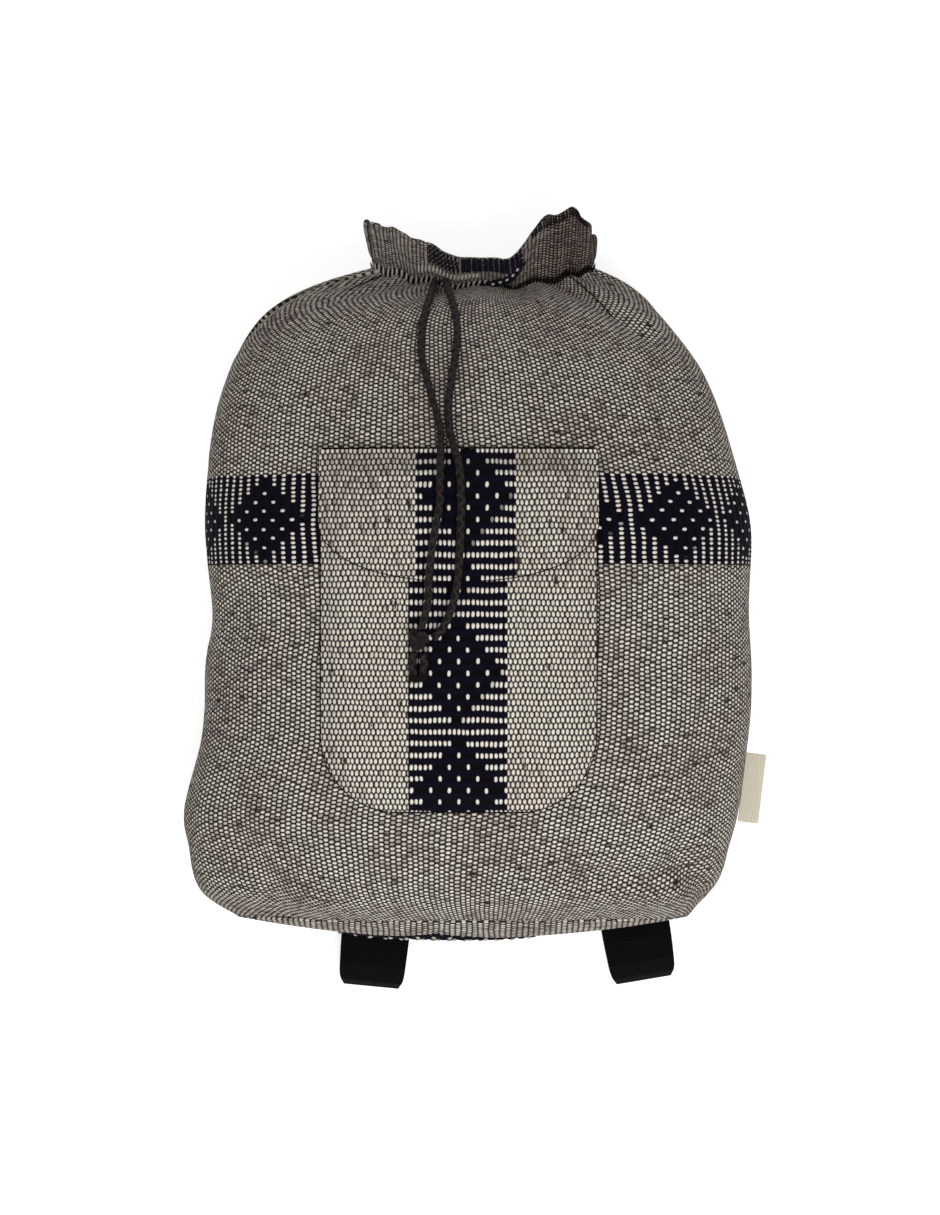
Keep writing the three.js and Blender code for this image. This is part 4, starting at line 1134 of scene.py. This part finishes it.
def woven_material(name, light=0.58, band=None, pitches=(COLUMN_PITCH, GRAIN_PITCH), grain=(0.218, 0.352),
                   warp=DARK_WARP, shaded=None):
    """Plain weave of cream and grey yarn on dark warp. A band is (middle, height, diamond length, start)."""
    material, n, shader = new_material(name, 0.95, 0.06)
    column_pitch, grain_pitch = pitches
    uv, weft_way, warp_way = n.weave()
    wobble = (n.noise(uv, 60.0) - 0.5) * 0.0016
    across, along = weft_way + wobble, warp_way + wobble
    dot, dot_height, dot_tint, column, row = grains_and_yarn(n, uv, across, along, 0.0, pitches, grain, light)
    other, other_height, other_tint, *_ = grains_and_yarn(n, uv, across, along, 1.0, pitches, grain, light)
    ground = colour(warp)
    if band:
        middle, height, diamond, start = band
        # By whole grains, so that no dot is cut where a diamond or the band ends
        run = (column + 0.5) * (column_pitch * 2)
        step = (row + 0.5) * grain_pitch - middle
        off_middle, half = (warp_way - middle).of("ABSOLUTE"), height / 2
        inside = n.smooth(off_middle, half - BAND_BLUR, half + BAND_BLUR, 1.0, 0.0)
        aside = 1.0 - ((run / diamond + start).of("FRACT") - 0.5).of("ABSOLUTE") * 2.0
        solid = n.smooth(aside + step.of("ABSOLUTE") / half, 0.93, 0.97, 1.0, 0.0)
        every_fourth = ((row + (column / 2.0).of("FRACT") * 4.0) / 4.0).of("FRACT").of("LESS_THAN", 0.12)
        keep = (1.0 - solid).of("MAXIMUM", every_fourth)
        outside = 1.0 - inside
        dot = dot * (outside + inside * keep)
        dot_height = dot_height * outside.of("MAXIMUM", keep)
        other = other * outside
        ridge = ((across / (column_pitch * 2) + 0.5).of("FRACT") * math.pi).of("SINE")
        ripple = (along * (math.pi / (grain_pitch * 2))).of("SINE").of("ABSOLUTE") * solid
        ground = n.mix(inside, ground, n.mix(ridge * 0.8, colour(BLACK_YARN), colour(NAVY_YARN)))
        dot_tint = n.mix(inside, dot_tint, colour(CREAM_YARN))
        other_height = (other_height * outside).of("MAXIMUM", inside * (ridge * 0.9 + ripple * 0.5))
    tint = n.mix(dot, n.mix(other, ground, other_tint), dot_tint)
    # Painted shade: over a stretch of the weave map the colour is multiplied darker
    if shaded:
        tint = n.mix(n.smooth(weft_way, *shaded, 0.35, 1.0), tint, (0.42, 0.37, 0.36, 1), "MULTIPLY")
    surface(n, shader, tint, dot_height.of("MAXIMUM", other_height) + n.noise(uv, 1500.0) * 0.25, 0.0007)
    return material


def plain_material(name, rgb, roughness, scale, depth, shine=0.5):
    """One colour, darker by a fifth in the hollows of its fine relief."""
    material, n, shader = new_material(name, roughness, shine)
    noise = n.noise(n.out(n.add("ShaderNodeTexCoord"), "Object"), scale, 3.0, "3D")
    surface(n, shader, n.mix(noise, colour([c * 0.8 for c in rgb]), colour(rgb)), noise, depth)
    return material


def thread_material(name, rgb):
    return plain_material(name, rgb, 0.9, 2500.0, 0.0001, shine=0.1)


def braid_material(name):
    """Near-black braid with painted highlights on the crests of its crossing strands. UV: turns round the
    cord and metres along it.
    """
    material, n, shader = new_material(name, 0.8, 0.2)
    _, round_it, along = n.weave()
    turn, lay = round_it * (4 * math.pi), along * (2 * math.pi / BRAID_PITCH)
    crest = (turn + lay).of("COSINE").of("MAXIMUM", (turn - lay + math.pi).of("COSINE"))
    fibres = n.noise(n.combine(round_it * 9.0, along * 900.0), 1.0)
    tint = n.mix(n.smooth(crest, 0.2, 1.0) * fibres, colour(BRAID_DARK), colour(BRAID_PAINTED_HIGHLIGHT))
    surface(n, shader, tint, crest + fibres * 0.5, 0.0003)
    return material


def webbing_material(name, dark, light, rib, pick, shine):
    """A flat woven band, on its own UV: ribs across it and picks along it, with painted shade that darkens it
    from their crests into their hollows.
    """
    material, n, shader = new_material(name, 0.8, shine)
    _, across, along = n.weave()
    ribs = (along * (math.pi / rib)).of("SINE").of("ABSOLUTE")
    picks = (across * (math.pi / pick)).of("SINE").of("ABSOLUTE")
    height = ribs + picks * 0.4
    surface(n, shader, n.mix(height * 0.7, colour(dark), colour(light)), height, 0.0002)
    return material


# Camera, light and floor

def photograph_view():
    camera = bpy.data.cameras.new("camera")
    camera.sensor_width = SENSOR
    camera.lens = LENS
    obj = linked("camera", camera)
    distance = PHOTO_HEIGHT * METRES_PER_PIXEL * LENS / SENSOR
    x = (PHOTO_WIDTH / 2 - ORIGIN_PIXEL[0]) * METRES_PER_PIXEL
    y = (ORIGIN_PIXEL[1] - PHOTO_HEIGHT / 2) * METRES_PER_PIXEL
    obj.location = Vector(FOOTPRINT_SHIFT) + Vector((x, y, OUTLINE_HEIGHT + distance))
    camera.clip_start, camera.clip_end = 0.05, 20
    bpy.context.scene.camera = obj


def lamp(name, place, size, power, aim=(0, 0, 0.08)):
    light = bpy.data.lights.new(name, "AREA")
    light.size = size
    light.energy = power
    obj = linked(name, light)
    obj.location = place
    obj.rotation_euler = (Vector(aim) - Vector(place)).to_track_quat("-Z", "Y").to_euler()


def seen(n):
    """1 where the floor or world is looked at, straight or mirrored, and 0 where it lights the bag."""
    path = n.add("ShaderNodeLightPath")
    direct = n.out(path, "Is Camera Ray") + n.out(path, "Is Glossy Ray")
    return n.math("ADD", direct, n.out(path, "Is Transmission Ray"), clamp=True)


def studio():
    scene = bpy.context.scene
    scene.view_settings.view_transform = "Standard"
    scene.world = bpy.data.worlds.new("studio")
    scene.world.use_nodes = True
    n = Nodes(scene.world.node_tree)
    strength = n.math("ADD", WORLD_LIGHT, seen(n) * (1 - WORLD_LIGHT))
    n.feed(n.tree.nodes["Background"], {"Color": (1, 1, 1, 1), "Strength": strength})
    lamp("window", (0.30, -0.9, 1.65), 1.0, 18.5)
    lamp("fill", (-0.5, 1.0, 1.6), 1.4, 5)
    corners = [(x * FLOOR_HALF, y * FLOOR_HALF, -0.0002) for x, y in ((-1, -1), (1, -1), (1, 1), (-1, 1))]
    floor = finish_mesh("floor", corners, [(0, 1, 2, 3)])
    material, n, shader = new_material("pale floor", 0.9, 0.5)
    n.feed(shader, {"Base Color": (0.93, 0.93, 0.93, 1), "Emission Color": (1, 1, 1, 1),
                    "Emission Strength": seen(n) * 0.68})
    floor.data.materials.append(material)


def cut_cloth(obj):
    """Reads the reach of a panel's weave map, and does nothing more with it."""
    reach = np.array([loop.uv[:] for loop in obj.data.uv_layers["Weave"].data])


def give(obj, material, stands_for=None):
    """A finished piece gets its material and slot, rides the bag and may stand for a solid."""
    obj.data.materials.clear()
    obj.data.materials.append(material)
    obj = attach(obj, "root")
    if stands_for:
        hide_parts(stands_for)
    return obj


photograph_view()
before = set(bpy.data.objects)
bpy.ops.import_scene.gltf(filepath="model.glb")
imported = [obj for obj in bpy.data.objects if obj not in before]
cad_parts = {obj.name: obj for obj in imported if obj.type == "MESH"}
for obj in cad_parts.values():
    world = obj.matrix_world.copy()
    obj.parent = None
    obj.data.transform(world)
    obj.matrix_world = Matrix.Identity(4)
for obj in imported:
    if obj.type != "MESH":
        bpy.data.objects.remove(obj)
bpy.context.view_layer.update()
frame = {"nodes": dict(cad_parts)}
nodes = frame["nodes"]
THREADS = thread_tree()
GRAINS = grain_group()
YARN = salt_and_pepper_group()
studio()

front_width = equal_steps(float(station_of(BAND_MIDDLE)), *front_limits(6.0), 10)[1]
back_width = equal_steps(float(station_of(BAND_MIDDLE)), *back_limits(6.0), 10)[1]
diamond = front_width / DIAMONDS_ACROSS_FRONT
front_band = (spine_length(BAND_MIDDLE), BAND_HEIGHT, diamond, 0.08)
back_band = (spine_length(BAND_MIDDLE, 2.0), BAND_HEIGHT, diamond, 0.5)
pouch_band = (POUCH_BAND_MIDDLE, POCKET_BAND_WIDTH, POCKET_DIAMOND, 0.578)
flap_band = (FLAP_BAND_MIDDLE, POCKET_BAND_WIDTH, POCKET_DIAMOND, 0.172)

front = give(wall_cloth("woven_front", 230, 210, front_limits, front_width),
             woven_material("grey weave, front", band=front_band), "front_panel")
back = give(wall_cloth("woven_back", 190, 170, back_limits, back_width),
            woven_material("grey weave, back", band=back_band), "back_panel")
base = give(base_cloth(), woven_material("grey weave, base"), "base_panel")
casing = give(casing_cloth(), woven_material("finer weave, casing", 0.5, pitches=CASING_PITCHES,
                                             shaded=CASING_SHADED), "drawstring_casing")
pouch = give(pouch_cloth(), woven_material("cream weave, pouch", 0.85, pouch_band, **POCKET_WEAVE),
             "pocket_pouch")
flap = give(flap_cloth(), woven_material("cream weave, flap", 0.72, flap_band, **POCKET_WEAVE),
            "pocket_flap")
cut_cloth(front)
cut_cloth(back)
cut_cloth(base)
cut_cloth(casing)
cut_cloth(pouch)
cut_cloth(flap)

# Drawstring
braid = braid_material("black braid")


def cord_piece(name, route, stands_for, closed=False):
    return give(braided_tube(name, route, CORD_DIAMETER / 2, closed), braid, stands_for)


left_route, left_length = smooth_route(CORD_LEFT)
right_route, right_length = smooth_route(CORD_RIGHT)
cord_left = cord_piece("braided_cord_left", left_route, "drawstring_left")
cord_right = cord_piece("braided_cord_right", right_route, "drawstring_right")
knot = cord_piece("overhand_knot", knot_route(), "drawstring_knot", closed=True)
end_left = cord_piece("braided_end_left", smooth_route(TAIL_LEFT)[0], "drawstring_end_left")
end_right = cord_piece("braided_end_right", smooth_route(TAIL_RIGHT)[0], "drawstring_end_right")
for cord, route, length, tied in ((cord_left, left_route, left_length, [knot, end_left]),
                                  (cord_right, right_route, right_length, [end_right])):
    path = route + FOOTPRINT_SHIFT
    tuple(path[0])
    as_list(tied)

# Straps, buckles and tab
loose_yarn = thread_material("loose cord yarn", (0.13, 0.10, 0.09))
webbing = webbing_material("black webbing", (0.004, 0.003, 0.004), (0.040, 0.033, 0.040),
                           WEBBING_RIB, WEBBING_PICK, 0.06)
ribbon = webbing_material("cream ribbon", (0.90, 0.86, 0.76), (0.99, 0.96, 0.88),
                          RIBBON_RIB, RIBBON_PICK, 0.3)
nylon = plain_material("black nylon", (0.085, 0.08, 0.085), 0.42, 250.0, 0.00005)
for side, (strap_x, slant) in STRAPS.items():
    place = band_frame(strap_x, ANCHOR_Y, 0.0, slant)
    for part, path in (("upper", upper_path(strap_x, slant)), ("lower", lower_path(slant))):
        band = ribbed_band(f"ribbed_webbing_{part}_{side}", path, WEBBING, WEBBING_WIDTH, place, WEBBING_RIB,
                           WEBBING_RELIEF, step=0.0005, folded_at=STRAP_REACH)
        give(band, webbing, f"{part}_strap_{side}")
    nodes[f"strap_buckle_{side}"].data.materials.clear()
    nodes[f"strap_buckle_{side}"].data.materials.append(nylon)
give(side_tab(), ribbon, "side_tab")

# Sewing of the neck and the casing
dark_thread = thread_material("dark thread", (0.055, 0.047, 0.05))
light_thread = thread_material("cream thread", (0.90, 0.86, 0.82))
navy_thread = thread_material("navy thread", (0.08, 0.07, 0.13))
# The turned-in strip is real cloth, with its weave painted darker as painted shade inside the neck.
give(seam_allowance(), woven_material("grey weave, turned in", 0.2))
whips = whipping((-0.98, 0.02, 600), (-0.12, 0.46), (0.12, 0.56), 0.0015, 0.0014)
threads("neck_whipping_light", whips[::2], 0.0012, light_thread)
threads("neck_whipping_dark", whips[1::2], 0.0011, dark_thread)

# Each row: its stretch round the neck, its foot and head on the casing, pitch, slant, thickness and thread
casing_rows = {
    # The neck crease row is dark thread along the casing's foot, as painted shade in the crease.
    "neck_crease_painted_shade": ((0.02, 0.98, 500), (-0.10, 0.42), (0.08, 0.50), 0.0018, 0.0012, 0.0010, dark_thread),
    "overlocked_edge": ((0.22, 0.72, 300), (1.015, 0.1), (0.86, 0.54), 0.0017, 0.0008, 0.0012, dark_thread),
    "lip_whipping": ((-0.34, -0.01, 300), (0.22, 0.56), (0.44, 0.60), 0.0021, 0.0006, 0.0011, light_thread),
}
for name, (*stitches, thickness, thread) in casing_rows.items():
    threads(name, whipping(*stitches), thickness, thread)

# Navy rim and folded wedge at the middle of the mouth
rim = []
for row, up in enumerate(np.linspace(0.54, 0.97, 8)):
    over = 0.58 if up < 0.9 else 0.46
    for start, end, pitch, length in ((-0.27 + 0.006 * (row % 2), -0.09, 0.0024, 0.0015),
                                      (-0.09, 0.16 + 0.01 * (row % 3), 0.0031, 0.0029)):
        rim += [*along_line(casing_line(np.linspace(start, end, 120), up, over), pitch, length)]
threads("navy_rim", rim, 0.0015, navy_thread)
climb = np.linspace(0, 1, 60)
fold = []
for aside in (-0.022, -0.008, 0.008, 0.022):
    up = -0.10 + (0.72 - 3 * abs(aside)) * climb
    strand = casing_line(0.01 + 0.15 * climb + aside, up, 0.66 - 4 * abs(aside))
    fold += [*along_line(strand, 0.0033, 0.0031)]
threads("folded_wedge", fold, 0.0022, navy_thread)
strand = casing_line(0.02 + 0.13 * climb, -0.04 + 0.62 * climb, 0.78)
threads("wedge_dashes", along_line(strand, 0.0040, 0.0022), 0.0015, light_thread)

# Sewing of the shoulders and the pocket
for side, path in (("left", [(-0.046, 0.1790), (-0.058, 0.1730), (-0.070, 0.1660)]),
                   ("right", [(0.045, 0.1800), (0.056, 0.1720), (0.065, 0.1625), (0.075, 0.1500)])):
    threads(f"shoulder_seam_{side}", along_line(on_front(path), 0.0023, 0.0022), 0.0010, dark_thread)
x_top = np.linspace(POCKET_LEFT, POCKET_RIGHT, 200)
y_top = np.full(200, POCKET_TOP + 0.0007)
top_seam = np.stack([x_top, y_top, front_height(x_top, y_top) + 0.0006], -1)
for name, line, pitch, length, thickness in (
        # The pouch's thick dark line is its seam together with painted shadow along the pocket's edge.
        ("pouch_seam_and_painted_shadow", pocket_outline(0.0009), 0.0027, 0.0030, 0.0019),
        # The dark line round the flap's free edge is painted shadow under the flap.
        ("flap_edge_painted_shadow", flap_outline(-0.0002, 0.0004), 0.0024, 0.0026, 0.0009),
        ("flap_top_seam", top_seam, 0.0030, 0.0032, 0.0010)):
    threads(name, along_line(line, pitch, length), thickness, dark_thread)

# Diamond woven into the base
floats, grains = [], []
for row in range(-11, 12):
    half_length = BASE_DIAMOND_HALF * (1 - abs(row) / 12)
    line = base_line(BASE_DIAMOND[1] + row * 0.0022, half_length)
    floats += [*along_line(line, 0.0052, 0.0049)]
    if row % 3 == 0 and half_length > 0.010:
        grains += [*along_line(line[6 * (row // 3 % 2):] + [0, -0.0008, 0], 0.0086, 0.0026)]
threads("base_diamond", floats, 0.0023, navy_thread)
threads("base_diamond_grains", grains, 0.0019, light_thread)

# Frayed cord ends
for side, tail in (("left", TAIL_LEFT), ("right", TAIL_RIGHT)):
    end, way = np.array(tail[-1]), unit(np.subtract(tail[-1], tail[-2]))
    count = np.arange(FRAYED_YARNS)
    turn = count * GOLDEN_ANGLE
    spread = np.sqrt((count + 0.5) / FRAYED_YARNS) * 0.0019
    ring = np.stack([np.cos(turn) * spread, np.zeros(FRAYED_YARNS), np.sin(turn) * spread * 0.8], -1)
    tips = end + way * (0.0030 + 0.0016 * np.abs(np.sin(turn * 3)))[:, None] + ring * 1.5
    yarns = np.stack([end - way * 0.001 + ring, tips + [0, 0, 0.0004]], 1)
    threads(f"frayed_end_{side}", yarns, 0.0006, loose_yarn)
